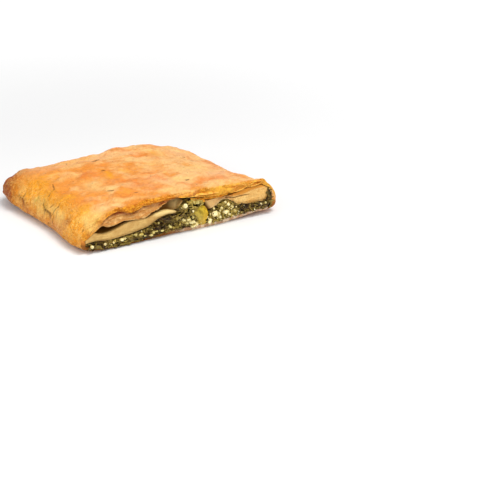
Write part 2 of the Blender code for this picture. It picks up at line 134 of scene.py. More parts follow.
MARKS = {
    "toast": (
        ((38, 38, 21), (62, 28, 23), 3.2, 0.55), ((49, 34, 22), (49, 24, 22), 2.6, 0.70),
        ((62, 29, 23), (64, 27, 22), 1.9, 0.80), ((78, 13, 21), (94, 17, 20), 2.8, 0.75),
        ((68, 13, 22), (72, 8, 22), 1.4, 0.65), ((109, 55, 16), (110, 46, 16), 1.7, 0.90),
        ((84, 81, 22), (93, 81, 21), 2.0, 0.80), ((72, 76, 21), (77, 71, 21), 1.2, 0.80),
        ((80, 66, 21), (81, 61, 21), 1.1, 0.70), ((103, 64, 17), (104, 56, 16), 1.3, 0.55),
        ((37, 60, 21), (37, 54, 21), 1.5, 0.90), ((30, 55, 20), (35, 61, 21), 1.4, 1.00),
        ((35, 61, 21), (39, 57, 21), 1.3, 0.70), ((12, 43, 19), (10, 37, 20), 1.6, 0.95),
        ((8, 24, 18), (14, 21, 21), 3.4, 0.70), ((11, 23, 19), (14, 23, 20), 1.8, 0.60),
        ((31, 13, 22), (35, 12, 22), 1.4, 0.60), ((0, 61, 9), (0, 58, 7), 1.4, 0.70),
        ((5, 82, 15), (4, 78, 14), 1.6, 1.00), ((107, 24, 18), (105, 12, 19), 2.0, 0.60),
        ((43, 14, 23), (56, 15, 22), 1.1, 0.50), ((46, 64, 22), (58, 69, 22), 1.0, 0.50),
        ((63, 91, 20), (72, 86, 22), 1.5, 0.50), ((60, 38, 23), (66, 40, 22), 2.2, 0.60),
        ((110, 80, 14), (100, 97, 14), 3.0, 0.60), ((118, 30, 12), (117, 60, 11), 2.4, 0.60),
        ((52, 99, 16), (84, 100, 15), 2.2, 0.60),
    ),
    "gold": (
        ((4, 69, 14), (4, 66, 14), 1.9, 1.00), ((8, 67, 17), (12, 63, 19), 2.8, 0.80),
        ((13, 71, 19), (19, 68, 20), 2.2, 0.60), ((9, 13, 18), (11, 16, 19), 1.8, 1.00),
        ((6, 16, 16), (8, 9, 16), 2.2, 0.85), ((6, 37, 17), (12, 33, 20), 2.8, 0.75),
        ((44, 52, 22), (42, 44, 21), 1.1, 1.00), ((2, 73, 11), (3, 71, 13), 1.4, 0.60),
        ((0, 40, 9), (0, 34, 9), 1.6, 0.80), ((52, 51, 22), (53, 46, 22), 1.4, 0.60),
        ((84, 73, 21), (83, 65, 21), 1.5, 0.60), ((91, 50, 19), (94, 47, 18), 1.1, 0.50),
        ((4, 31, 15), (6, 28, 17), 1.6, 0.60), ((5, 56, 16), (7, 50, 18), 2.6, 0.60),
        ((118, 10, 12), (119, 24, 9), 2.6, 0.70),
    ),
    "pale": (
        ((83, 38, 21), (100, 45, 18), 3.0, 1.00), ((68, 22, 22), (76, 21, 22), 2.0, 0.90),
        ((30, 44, 20), (29, 33, 21), 3.8, 1.00), ((52, 8, 22), (62, 8, 22), 1.9, 0.90),
        ((54, 62, 23), (66, 64, 22), 2.2, 0.70), ((88, 71, 21), (86, 65, 20), 1.6, 0.80),
        ((66, 52, 22), (80, 54, 21), 2.2, 0.65), ((31, 32, 21), (32, 26, 21), 2.0, 0.70),
        ((18, 59, 20), (27, 61, 20), 2.2, 0.65), ((93, 33, 19), (103, 36, 17), 2.2, 0.75),
        ((88, 10, 21), (88, 4, 21), 1.6, 0.50), ((34, 86, 19), (50, 88, 20), 2.6, 0.60),
        ((24, 12, 21), (40, 5, 22), 1.6, 0.50), ((29, 74, 20), (37, 75, 20), 2.6, 0.80),
    ),
    "cream": (
        ((0, 1, 3), (2, 3, 8), 1.4, 0.50), ((1, 8, 6), (2, 14, 9), 1.2, 0.30),
        ((3, 42, 13), (3, 37, 13), 1.5, 0.90), ((10, 6, 17), (12, 5, 18), 1.9, 0.80),
        ((0, 52, 9), (1, 46, 10), 1.9, 0.90), ((2, 32, 13), (2, 25, 12), 1.9, 0.75),
        ((5, 78, 14), (4, 74, 13), 1.4, 0.40), ((2, 57, 12), (2, 50, 13), 2.0, 0.80),
        ((7, 7, 16), (7, 0, 14), 2.4, 1.00), ((9, 4, 17), (13, 2, 18), 2.2, 0.90),
        ((57, 2, 22), (67, 1, 21), 1.6, 0.70),
    ),
    "brown": (
        ((0, 88, 7), (4, 93, 12), 7.0, 1.00), ((4, 92, 13), (9, 89, 16), 2.6, 0.80),
        ((0, 82, 9), (0, 79, 7), 1.3, 0.60), ((2, 18, 12), (3, 17, 13), 1.5, 0.55),
        ((0, 70, 9), (0, 64, 9), 1.3, 0.40), ((1, 88, 11), (3, 90, 12), 1.9, 1.00),
        ((0, 71, 7), (0, 64, 7), 1.0, 0.30), ((109, 98, 9), (117, 92, 9), 2.2, 0.70),
        ((20, 100, 8), (40, 101, 8), 1.3, 0.60), ((118, 50, 7), (117, 70, 6), 1.4, 0.60),
    ),
    "peach": (
        ((96, 22, 19), (106, 30, 17), 4.0, 0.90), ((110, 52, 16), (106, 38, 17), 3.0, 0.70),
        ((14, 84, 18), (30, 80, 20), 4.5, 0.60), ((40, 84, 20), (62, 86, 21), 4.0, 0.50),
        ((64, 22, 22), (60, 30, 22), 2.6, 0.70), ((96, 72, 20), (104, 70, 18), 3.0, 0.60),
        ((44, 24, 22), (52, 18, 22), 3.0, 0.50), ((70, 84, 22), (76, 76, 21), 2.5, 0.50),
    ),
    "pink": (
        ((0, 68, 6), (0, 60, 5), 1.5, 0.70), ((0, 50, 5), (0, 40, 4), 1.9, 0.90),
        ((0, 38, 4), (0, 25, 5), 2.0, 0.90), ((1, 24, 10), (1, 19, 10), 1.5, 0.60),
        ((0, 59, 4), (0, 51, 4), 1.4, 0.50),
    ),
    "green": (
        ((3, 56, 14), (2, 54, 13), 0.8, 1.00), ((2, 57, 12), (1, 55, 11), 0.7, 0.80),
        ((2, 49, 13), (2, 45, 12), 0.7, 0.70), ((68, 0, 16), (75, 0, 17), 1.5, 0.80),
        ((8, 0, 15), (11, 1, 17), 0.8, 0.50), ((2, 53, 15), (2, 48, 14), 1.8, 0.75),
    ),
}

# Cracks and slits: their line in plan, half width and depth, all in millimetres
CRACKS = (
    (((6.2, 49.3), (10.4, 49.7), (13.2, 57.2)), 0.32, 0.6),
    (((2.0, 46.3), (2.0, 41.8), (1.6, 37.6), (4.8, 34.3), (5.8, 34.7)), 0.34, 0.8),
    (((3.4, 49.3), (2.0, 45.2)), 0.32, 0.7),
    (((2.2, 69.3), (0.8, 69.9)), 0.40, 0.8),
    (((0.4, 74.5), (0.2, 66.9)), 0.30, 0.5),
    (((1.6, 34.5), (0.4, 35.8)), 0.30, 0.6),
    (((3.0, 42.6), (5.0, 40.6)), 0.30, 0.5),
    (((46.6, 80.6), (50.2, 81.3), (53.4, 80.7)), 1.10, 0.3),
    (((43.5, 57.2), (43.9, 56.4)), 0.95, 0.4),
    (((30.8, 26.6), (33.1, 25.3)), 1.00, 0.3),
    (((74.6, 18.9), (76.4, 19.1)), 0.70, 0.3),
    (((2.8, 3.0), (2.6, 2.2)), 0.40, 0.6),
    (((96.0, 63.0), (102.0, 57.0)), 0.30, 0.4),
)
CRACK_WAVER = 0.35  # how unevenly they run, in millimetres
CRACK_SPREAD, CRACK_SINK = 0.75, 0.4  # how much of the width is dark, and of the depth is pressed in
CRACK_FOOT = 0.006  # there are none below this height

# ---------------------------------------------------------------- helpers


def ease(t):
    """A soft step from 0 to 1."""
    t = np.clip(t, 0.0, 1.0)
    return t * t * (3.0 - 2.0 * t)


def mix(a, b, share):
    return a * (1 - share) + b * share


def between(x, low, high, soft):
    """1 from low to high and 0 outside, with soft edges."""
    return ease((x - low) / soft + 0.5) * ease((high - x) / soft + 0.5)


def amid(share, power):
    """0 at both ends of the share, and soon 1 between them."""
    return np.sin(np.pi * share) ** power * (share > 0) * (share < 1)


def at(x, y, z):
    """Points (..., 3) from their three coordinates."""
    return np.stack(np.broadcast_arrays(x, y, z), -1)


def along(x, knots, soft=0.0012):
    """A softened line through (x, value) knots."""
    places, values = np.array(knots).T
    return np.mean([np.interp(x + shift, places, values) for shift in np.linspace(-soft, soft, 5)], axis=0)


def ripple(x, y, wave, seed, count=7):
    """Smooth unevenness between about -1 and 1, with waves about this long."""
    rng = np.random.default_rng(seed)
    total = np.zeros(np.broadcast(x, y).shape)
    for _ in range(count):
        turn, phase = rng.uniform(0.0, 2.0 * np.pi, 2)
        pace = 2.0 * np.pi / (wave * rng.uniform(0.7, 1.5))
        total += np.sin(pace * (x * np.cos(turn) + y * np.sin(turn)) + phase)
    return total / np.sqrt(count)


LATTICE_SIZE = 64
LATTICE = np.random.default_rng(1).random((LATTICE_SIZE,) * 3)  # what noise goes between


def noise(points, size, seed):
    """Smooth random values from -1 to 1 over points (..., 3), with features of this size."""
    place = points / size + 17.37 * seed
    cell = np.floor(place).astype(int)
    part = place - cell
    part = part * part * (3 - 2 * part)
    total = 0.0
    for corner in itertools.product((0, 1), repeat=3):
        weight = np.prod(np.where(np.array(corner) == 1, part, 1 - part), axis=-1)
        index = (cell + corner) % LATTICE_SIZE
        total = total + weight * LATTICE[index[..., 0], index[..., 1], index[..., 2]]
    return 2 * total - 1


def clouds(points, size, seed, octaves=3):
    """Noise with finer noise on it."""
    return sum(noise(points, size / 2**i, seed + i) / 2**i for i in range(octaves))


def creases(points, size, seed):
    """0 to 1, with thin lines near 1 where the noise changes sign."""
    return np.clip(1 - 4 * abs(noise(points, size, seed)), 0.0, 1.0)


def turned_plan(points, degrees, stretch):
    """The points turned about Z and squeezed along the new X, so that noise on them has streaks."""
    cos, sin = np.cos(np.radians(degrees)), np.sin(np.radians(degrees))
    x, y, z = points[..., 0], points[..., 1], points[..., 2]
    return at((x * cos + y * sin) / stretch, y * cos - x * sin, z)


# ---------------------------------------------------------------- the form
# u is the share across, from left to right, and v the share towards the closed end


def plan(u, v):
    """Where the shares u and v lie on the table."""
    x, y = u * CUT_WIDTH, v * LENGTH
    inner_x = np.clip(x, CORNER, CUT_WIDTH - CORNER)
    inner_y = np.minimum(y, LENGTH - CORNER)
    dx, dy = x - inner_x, y - inner_y
    longest = np.maximum(abs(dx), abs(dy))
    shrink = np.where((dx != 0) & (dy > 0), longest / np.maximum(np.hypot(dx, dy), 1e-9), 1.0)
    x, y = inner_x + dx * shrink, inner_y + dy * shrink
    across, deep = x / CUT_WIDTH, y / LENGTH
    lean = (SIDE_LEAN[0] + (SIDE_LEAN[1] - SIDE_LEAN[0]) * across) * deep
    waist = 0.0014 * (2 * across - 1) * ripple(y, 0.05 * across, 0.075, 3) * ease(y / 0.02)
    sway = 0.0008 * ripple(x, 0.0, 0.060, 8) * ease(2 * deep - 1)
    return x + lean + waist, y + sway


def inward(u, v, left, right, end):
    """0 on the outline, and 1 from these distances inward on."""
    shares = np.stack([u * CUT_WIDTH / left, (1 - u) * CUT_WIDTH / right, (1 - v) * LENGTH / end])
    return np.clip((np.maximum(shares, 1e-6) ** -5.0).sum(axis=0) ** -0.2, 0.0, 1.0)


def full_height(u, v):
    """The top's height where the rounding of the edges is over."""
    corners = mix(mix(*CUT_CORNERS, u), mix(*END_CORNERS, u), v)
    crown = CROWN[0] * (1 - v) ** 2 + 2 * CROWN[1] * v * (1 - v) + CROWN[2] * v**2
    arch = np.maximum(np.sin(np.pi * u), 0.0) ** (0.5 + 0.5 * v)
    x, y = u * CUT_WIDTH, v * LENGTH
    uneven = 0.0005 * ripple(x, y, 0.032, 21) + 0.0003 * ripple(x, y, 0.013, 22)
    for at_x, at_y, reach, height in SWELLS:
        uneven = uneven + height * np.exp(-((x - at_x) ** 2 + (y - at_y) ** 2) / reach**2)
    return corners + crown * arch + uneven


def corner_lift(u, v):
    """How far the left closed corner has curled up off the table."""
    x, y, reach, height = CORNER_LIFT
    return height * np.exp(-(((u * CUT_WIDTH - x) / reach) ** 2 + ((v * LENGTH - y) / reach) ** 2))


def skin_top(u, v):
    """Height of the crust's upper side."""
    front = 1 - ease(v / 0.35)
    left = 1 - ease(u / 0.25)
    right = ease((u - 0.75) / 0.25)
    roundness = 1.85 - 0.35 * front * left
    near = inward(u, v, 0.012 + 0.009 * front, 0.010, 0.013)
    rise = (1 - (1 - near) ** roundness) ** (1 / roundness)
    drop = 0.58 - 0.08 * right
    return full_height(u, v) * (1 - drop * (1 - rise)) + CORNER_TOP * corner_lift(u, v)


def skin_base(u, v):
    """Height of the crust's underside: flat on the table, curled up at the edges."""
    near = inward(u, v, 0.006, 0.006, 0.006)
    curl = TURN_UP * (1 - np.sqrt(1 - (1 - near) ** 2))
    lift = EDGE_LIFT[0] * (1 - ease(u / 0.16)) + EDGE_LIFT[1] * ease((u - 0.70) / 0.22)
    wave = np.maximum(ripple(u * CUT_WIDTH, 0.0, 0.024, 12), 0.0) * (1 - ease(v / 0.08))
    return curl + lift + corner_lift(u, v) + CUT_WAVE * wave


def rim_top(u, v):
    """The crust's upper side, with the uneven rim that it has at the cut."""
    x = u * CUT_WIDTH
    at_cut = along(x, RIM, 0.0006) - skin_top(u, np.zeros_like(v))
    jags = 0.0003 * ripple(x, 0.0, 0.0035, 91) + 0.0002 * ripple(x, 0.0, 0.0016, 92)
    at_cut = at_cut * (1 - ease(v * LENGTH / 0.007)) + jags * (1 - ease(v * LENGTH / 0.0025))
    return skin_top(u, v) + at_cut * between(x, 0.0155, 0.1135, 0.003)


def floor(u, v):
    return skin_base(u, v) + BASE_WALL


def ceiling(u, v):
    """The cavity's upper side, which is ragged where the crust's lower sheet ends."""
    x, y = u * CUT_WIDTH, v * LENGTH
    ragged = 0.00022 * ripple(x, 0.0, 0.0038, 93) + 0.00016 * ripple(x, 0.0, 0.0015, 94)
    ragged = ragged * between(x, 0.029, 0.052, 0.006) * (1 - ease(y / 0.003))
    wall_at_cut = skin_top(u, np.zeros_like(v)) - along(x, CEILING, 0.0008)
    return skin_top(u, v) - mix(np.maximum(wall_at_cut, 0.0015), TOP_WALL, ease(y / TAPER)) + ragged


def at_depth(u, v, line, inside):
    """This line at the cut, which gives way to the inside height, soonest behind the tongue."""
    x = u * CUT_WIDTH
    pocket = between(x, *POCKET)
    deep = (v * LENGTH - POCKET_SHELF * pocket) / mix(TAPER, POCKET_TAPER, pocket)
    return mix(along(x, line), inside, ease(deep))


def heap_top(u, v):
    """Height of the heap of filling, and far below the table where there is none."""
    x, y = u * CUT_WIDTH, v * LENGTH
    inside = 1 - ((x - HEAP_CENTRE[0]) / HEAP_RADII[0]) ** 2 - (y / HEAP_RADII[1]) ** 2
    return np.where(inside > 0, HEAP_CENTRE[2] + HEAP_RADII[2] * np.sqrt(np.maximum(inside, 0)), -1.0)


def filling_top(u, v):
    low, high = floor(u, v) + GAP, ceiling(u, v)
    return np.minimum(at_depth(u, v, FILLING_TOP, mix(low, high, 0.55)), high - THINNEST)


def heaped_top(u, v):
    return np.maximum(filling_top(u, v), heap_top(u, v))


def sheets_top(u, v):
    high = ceiling(u, v) - GAP
    return np.minimum(at_depth(u, v, SHEETS_TOP, high), high)


# ---------------------------------------------------------------- meshes


def grid(count_a, count_b):
    """Two arrays of shares 0..1, one row for each b and one column for each a."""
    return np.meshgrid(np.linspace(0, 1, count_a + 1), np.linspace(0, 1, count_b + 1))


def span(a, b, count):
    """A patch between two lines of points."""
    return mix(a[None], b[None], np.linspace(0, 1, count + 1)[:, None, None])


def block(top, base, rows):
    """A closed block between two patches, as patches. The one in the cut comes first."""
    edges = ((top[0], base[0]), (top[-1], base[-1]), (top[:, 0], base[:, 0]), (top[:, -1], base[:, -1]))
    face, *others = (span(a, b, rows) for a, b in edges)
    return [face, top, base] + others


def sheet(middle, thickness):
    """A closed thin leaf round a surface of points (rows, columns, 3), as patches."""
    normal = np.cross(np.gradient(middle, axis=1), np.gradient(middle, axis=0))
    normal /= np.maximum(np.linalg.norm(normal, axis=-1, keepdims=True), 1e-12)
    half = normal * np.asarray(thickness)[..., None] / 2
    return block(middle + half, middle - half, 1)


def coarse(patch, step):
    """The patch with its inner points drawn together in groups this wide, for weld to join."""
    row, column = (np.clip(np.round(np.arange(count) / step) * step, 1, count - 2).astype(int)
                   for count in patch.shape[:2])
    drawn = patch.copy()
    drawn[1:-1, 1:-1] = patch[row[1:-1, None], column[None, 1:-1]]
    return drawn


def weld(patches):
    """Points, faces and each point's patch number, with the patches' shared points joined."""
    points = np.concatenate([patch.reshape(-1, 3) for patch in patches])
    number = np.repeat(np.arange(len(patches)), [patch.shape[0] * patch.shape[1] for patch in patches])
    faces, start = [], 0
    for rows, columns in (patch.shape[:2] for patch in patches):
        index = start + np.arange(rows * columns).reshape(rows, columns)
        quads = np.stack([index[:-1, :-1], index[:-1, 1:], index[1:, 1:], index[1:, :-1]], -1)
        faces.append(quads.reshape(-1, 4))
        start += rows * columns
    keys = np.round(points * 1e7).astype(np.int64)
    _, first, joined = np.unique(keys, axis=0, return_index=True, return_inverse=True)
    faces = joined.ravel()[np.concatenate(faces)]
    corners = [list(dict.fromkeys(face)) for face in faces.tolist()]
    return points[first], [face for face in corners if len(face) > 2], number[first]


def make_mesh(name, points, faces):
    mesh = bpy.data.meshes.new(name)
    mesh.from_pydata(points.tolist(), [], faces)
    bm = bmesh.new()
    bm.from_mesh(mesh)
    bmesh.ops.recalc_face_normals(bm, faces=bm.faces)
    bm.to_mesh(mesh)
    bm.free()
    mesh.polygons.foreach_set("use_smooth", [True] * len(mesh.polygons))
    return mesh


def joined(parts):
    """The points and faces of many parts in one, and each point's part number."""
    starts = np.cumsum([0] + [len(points) for points, _ in parts])
    faces = [[corner + start for corner in face] for (_, its), start in zip(parts, starts) for face in its]
    number = np.repeat(np.arange(len(parts)), [len(points) for points, _ in parts])
    return np.concatenate([points for points, _ in parts]), faces, number


def vertex_values(mesh, key):
    values = np.empty(len(mesh.vertices) * 3)
    mesh.vertices.foreach_get(key, values)
    return values.reshape(-1, 3)


def displace(mesh, height):
    """Moves each point by its height along the mesh's normal, but not under the table."""
    points = vertex_values(mesh, "co") + vertex_values(mesh, "normal") * height[:, None]
    points[:, 2] = np.maximum(points[:, 2], 0.0)
    mesh.vertices.foreach_set("co", points.ravel())
    mesh.update()


def paint(mesh, **values):
    """Stores each value of the points as a named attribute for the materials."""
    for name, value in values.items():
        layer = mesh.attributes.new(name, "FLOAT", "POINT")
        layer.data.foreach_set("value", np.ascontiguousarray(value, dtype=np.float32))


def finish(mesh, material, node):
    """The mesh as a piece of the object that stands in for this node, in the row's frame."""
    mesh.transform(Matrix.Translation((-CENTRE[0], -CENTRE[1], 0.0)))
    mesh.materials.append(material)
    body = bpy.data.objects.new(mesh.name, mesh)
    bpy.context.scene.collection.objects.link(body)
    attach(body, "root")
    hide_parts(node)
    return body


# ---------------------------------------------------------------- materials


def srgb(red, green, blue):
    """A colour given as it looks, in 0..255, as the shader wants it."""
    values = np.array([red, green, blue]) / 255.0
    linear = np.where(values <= 0.04045, values / 12.92, ((values + 0.055) / 1.055) ** 2.4)
    return tuple(float(value) for value in linear)


class Look:
    """A material, with short ways to add its nodes. Its colour is laid on coat by coat."""

    def __init__(self, name):
        self.material = bpy.data.materials.new(name)
        self.material.use_nodes = True
        self.tree = self.material.node_tree
        self.shader = self.tree.nodes["Principled BSDF"]
        self.place = self.add("ShaderNodeTexCoord", {}).outputs["Object"]
        self.colour = None

    def add(self, kind, inputs, **settings):
        node = self.tree.nodes.new(kind)
        for key, value in settings.items():
            setattr(node, key, value)
        for key, value in inputs.items():
            self.put(node.inputs[key], value)
        return node

    def put(self, socket, value):
        if isinstance(value, bpy.types.NodeSocket):
            self.tree.links.new(value, socket)
        elif isinstance(value, tuple) and len(value) == 3 and socket.type == "RGBA":
            socket.default_value = (*value, 1.0)
        else:
            socket.default_value = value

    def mark(self, name, strength=1.0):
        """A value painted on the mesh."""
        value = self.add("ShaderNodeAttribute", {}, attribute_name=name).outputs["Fac"]
        return value if strength == 1.0 else self.times(value, strength)

    def streaked(self, degrees, stretch):
        """The place, turned about Z and squeezed along the new X."""
        squeeze = {"Rotation": (0, 0, np.radians(-degrees)), "Scale": (1 / stretch, 1, 1)}
        return self.add("ShaderNodeMapping", {"Vector": self.place, **squeeze}).outputs["Vector"]

    def noise(self, size, detail=3.0, roughness=0.55, distortion=0.0, place=None):
        inputs = {"Vector": place or self.place, "Scale": 1.0 / size, "Detail": detail,
                  "Roughness": roughness, "Distortion": distortion}
        return self.add("ShaderNodeTexNoise", inputs).outputs["Fac"]

    def times(self, a, b):
        return self.add("ShaderNodeMath", {0: a, 1: b}, operation="MULTIPLY").outputs[0]

    def plus(self, a, b):
        return self.add("ShaderNodeMath", {0: a, 1: b}, operation="ADD").outputs[0]

    def step(self, value, low, high, to_low=0.0, to_high=1.0):
        """The value between low and high, spread softly over the new range."""
        inputs = {"Value": value, "From Min": low, "From Max": high, "To Min": to_low, "To Max": to_high}
        return self.add("ShaderNodeMapRange", inputs, interpolation_type="SMOOTHSTEP").outputs["Result"]

    def line(self, value, middle, half):
        """1 where the value is this middle one, and 0 from half off it on."""
        rise, fall = self.step(value, middle - half, middle), self.step(value, middle, middle + half, 1, 0)
        return self.times(rise, fall)

    def blend(self, a, b, share, kind="MIX"):
        """Two colours in one. Each is a node's output, or three numbers as in srgb."""
        a, b = (srgb(*colour) if isinstance(colour, tuple) else colour for colour in (a, b))
        inputs = {"Factor": share, 6: a, 7: b}
        return self.add("ShaderNodeMix", inputs, data_type="RGBA", blend_type=kind).outputs[2]

    def coat(self, colour, share):
        """Lays a colour over the one that is there."""
        self.colour = self.blend(self.colour, colour, share)

    def shade(self, share, dark, light):
        """Brings the colour between these two brightnesses by the share."""
        value = self.step(share, 0.3, 0.7, dark, light)
        tint = self.add("ShaderNodeCombineColor", {"Red": value, "Green": value, "Blue": value}).outputs[0]
        self.colour = self.blend(self.colour, tint, 1.0, "MULTIPLY")

    def bump(self, height, distance, strength, under=None):
        inputs = {"Height": height, "Distance": distance, "Strength": strength}
        if under:
            inputs["Normal"] = under
        return self.add("ShaderNodeBump", inputs).outputs["Normal"]

    def done(self, normal, roughness, specular=0.4):
        looks = {"Base Color": self.colour, "Roughness": roughness, "Specular IOR Level": specular}
        for key, value in {**looks, "Normal": normal}.items():
            self.put(self.shader.inputs[key], value)
        return self.material


# The crust's marked places: name, strength and colour
CRUST_COATS = (
    ("peach", 1.00, (244, 182, 130)), ("pale", 1.00, (248, 198, 122)), ("toast", 1.05, (230, 128, 52)),
    ("gold", 1.00, (242, 160, 26)), ("pink", 1.00, (218, 138, 84)), ("brown", 1.50, (146, 62, 22)),
)


def crust_look():
    look = Look("baked_crust")
    streaks = look.noise(0.0032, 6, 0.66, 1.3, look.streaked(25, 1.25))
    coarse, middle, fine = look.noise(0.013, 6, 0.62), look.noise(0.0026, 4, 0.6), look.noise(0.0008, 3, 0.6)
    broken = look.step(look.plus(look.times(streaks, 0.6), look.times(fine, 0.4)), 0.38, 0.62)
    uneven = look.plus(look.times(broken, 0.65), 0.45)
    fair = look.step(look.plus(coarse, look.mark("fair", 0.17)), 0.44, 0.68)
    look.colour = look.blend((238, 150, 60), (249, 196, 128), fair)
    look.coat((228, 128, 46), look.times(look.step(streaks, 0.50, 0.68), 0.32))
    for name, strength, colour in CRUST_COATS:
        look.coat(colour, look.times(look.mark(name, strength), uneven))
    folds, crackle = look.noise(0.0075, 4, 0.62, 1.6), look.noise(0.0036, 5, 0.68, 1.4)
    wrinkles = look.plus(look.line(folds, 0.50, 0.020), look.line(folds, 0.60, 0.016))
    # painted shade: darker orange lines along the wrinkles
    look.coat((206, 108, 40), look.times(wrinkles, look.times(broken, 0.42)))
    look.coat((250, 206, 116), look.times(look.line(crackle, 0.55, 0.035), look.mark("worn")))
    look.coat((166, 96, 24), look.times(look.line(crackle, 0.49, 0.024), look.mark("worn", 0.9)))
    look.coat((208, 112, 46), look.times(look.step(look.noise(0.0013, 2, 0.7, 0.6), 0.59, 0.70), 0.40))
    look.coat((132, 66, 24), look.times(look.step(look.noise(0.0021, 1, 0.5), 0.745, 0.775), 0.8))
    crust_rim_coats(look, middle, broken, uneven)
    # painted shade: dark on the inner sides of the case, in the air spaces
    look.coat((116, 74, 34), look.mark("inside"))
    look.coat((98, 52, 12), look.mark("crack", 0.92))
    look.shade(look.plus(look.times(middle, 0.5), look.times(fine, 0.5)), 0.91, 1.09)
    flaky = look.bump(streaks, 0.0010, 0.55)
    wrinkled = look.bump(look.plus(look.times(wrinkles, -1.0), look.times(crackle, 1.5)), 0.0007, 0.50, flaky)
    pores = look.bump(look.noise(0.0007, 3, 0.6), 0.00025, 0.40, wrinkled)
    return look.done(pores, 0.50, 0.12)


def crust_rim_coats(look, middle, broken, uneven):
    """The colours of the crust at the cut: golden lip, second sheet, painted shadow under the lip, and base
    edge, which is partly painted shade.
    """
    golden = look.blend((190, 94, 4), (238, 164, 44), broken)
    golden = look.blend(golden, (248, 196, 92), look.step(look.noise(0.0024, 3, 0.6), 0.60, 0.74))
    look.coat(look.blend(golden, (250, 190, 70), look.mark("sunny", 0.6)), look.mark("lip"))
    look.coat((248, 206, 118), look.times(look.mark("cream"), uneven))
    look.coat((164, 136, 44), look.mark("green", 0.7))
    spots = look.times(look.mark("lip"), look.step(look.noise(0.0011, 2, 0.5), 0.69, 0.74))
    look.coat((92, 48, 14), look.times(spots, 0.7))
    second = look.blend((228, 164, 90), (250, 204, 132), look.step(middle, 0.35, 0.65))
    look.coat(second, look.mark("second"))
    # painted shadow: a dark red band just under the lip's lower line
    look.coat((142, 58, 8), look.mark("scorch"))
    under = look.blend((222, 174, 134), (254, 230, 196), look.step(middle, 0.38, 0.62))
    # the base edge darker at the left and at the right end: partly its baked colour, partly painted shade
    look.coat(look.blend(under, (150, 92, 36), look.mark("browned")), look.mark("under"))


def flake_look():
    look = Look("crust_flakes")
    fine, middle = look.noise(0.0009, 3, 0.6), look.noise(0.0030, 3, 0.6)
    look.colour = look.blend((212, 122, 10), (244, 180, 62), look.step(middle, 0.36, 0.62))
    look.coat((188, 96, 34), look.times(look.step(fine, 0.56, 0.70), 0.6))
    look.coat((212, 152, 78), look.mark("second"))
    # painted highlight: the flakes' tips that stand out of the cut are paler
    look.coat((250, 206, 112), look.mark("edge", 0.35))
    return look.done(look.bump(fine, 0.0003, 0.5), 0.50, 0.15)


# The sheets' marked places: name and colour. Edge is a painted highlight and deep is painted shade; rind and
# crack also carry painted shade at the top of the hollow.
DOUGH_COATS = (
    ("hollow", (252, 212, 142)), ("rind", (216, 142, 46)), ("edge", (250, 220, 146)),
    ("wall", (216, 184, 118)), ("deep", (110, 70, 14)), ("crack", (110, 62, 24)),
)


def dough_look():
    look = Look("soft_dough")
    middle, fine = look.noise(0.0035, 3), look.noise(0.0007, 3, 0.65)
    mottled = look.step(middle, 0.3, 0.7)
    look.colour = look.blend((202, 158, 88), (220, 182, 110), mottled)
    look.coat(look.blend((242, 188, 104), (252, 212, 134), mottled), look.mark("band"))
    grains = look.step(look.plus(fine, look.mark("band", 0.04)), 0.54, 0.68)
    look.coat((196, 138, 62), look.times(grains, 0.55))
    for name, colour in DOUGH_COATS:
        look.coat(colour, look.mark(name))
    return look.done(look.bump(look.noise(0.0011, 4, 0.65), 0.0005, 0.60), 0.55, 0.25)


def spinach_look():
    look = Look("cooked_spinach")
    middle, fine = look.noise(0.0022, 3, 0.6), look.noise(0.0007, 3, 0.7)
    look.colour = look.blend((46, 30, 6), (92, 64, 16), look.step(middle, 0.35, 0.65))
    light = look.blend((144, 116, 32), (218, 190, 92), look.step(fine, 0.35, 0.65))
    look.coat(light, look.mark("tone"))
    return look.done(look.bump(look.noise(0.0008, 4, 0.7), 0.0005, 0.6), 0.36, 0.3)


def cheese_look():
    look = Look("white_cheese")
    share = look.step(look.noise(0.0009, 3, 0.6), 0.38, 0.62)
    look.colour = look.blend((246, 218, 138), (255, 246, 196), share)
    look.coat(look.blend((158, 138, 56), (224, 206, 122), share), look.mark("greenish"))
    return look.done(look.bump(look.noise(0.0006), 0.0003, 0.5), 0.5)


def lump_look():
    look = Look("yellow_green_lump")
    mottled = look.step(look.noise(0.0022, 3, 0.6), 0.36, 0.64)
    look.colour = look.blend((186, 144, 10), (218, 176, 28), mottled)
    look.coat(look.blend((138, 112, 16), (196, 166, 46), mottled), look.mark("greenish"))
    look.coat((224, 206, 128), look.mark("pale"))
    return look.done(look.bump(look.noise(0.0012), 0.0004, 0.5), 0.34, 0.3)


# ---------------------------------------------------------------- the crust

CRUST_ACROSS, CRUST_DEEP, CRUST_SIDE = 280, 210, 10  # its faces each way
RIM_RINGS, INNER_ROWS = 20, 22
HIDDEN_STEP = 7  # how much coarser the underside is
# How golden the rim is along the cut, and how strong the painted shadow under its lip is
RIM_GOLD = (
    (0.000, 0.30), (0.011, 0.30), (0.017, 0.75), (0.022, 1.00), (0.046, 1.00), (0.053, 0.70),
    (0.058, 0.30), (0.066, 0.35), (0.071, 0.90), (0.086, 1.00), (0.096, 0.80), (0.112, 0.90),
    (0.120, 0.60),
)
RIM_LIP_SHADOW = (
    (0.010, 0.0), (0.015, 0.8), (0.022, 1.0), (0.031, 0.7), (0.036, 0.9), (0.044, 1.0),
    (0.056, 0.9), (0.066, 0.3), (0.074, 0.9), (0.089, 1.0), (0.0915, 0.1), (0.112, 0.1),
)
SECOND_SHEET = (0.010, 0.056)  # where the second sheet's face shows under the lip
# Small bumps and dents of the skin: x, y, reach and height
BUMPS = (
    (0.0603, 0.0916, 0.0050, -0.0009), (0.0670, 0.0906, 0.0045, 0.0004),
    (0.0980, 0.0830, 0.0070, -0.0011),
)
# Rolled-up flakes: their middle along the cut, height, half width and half height
CURLS = ((0.0959, 0.0184, 0.0043, 0.0016), (0.1064, 0.0188, 0.0044, 0.0010))


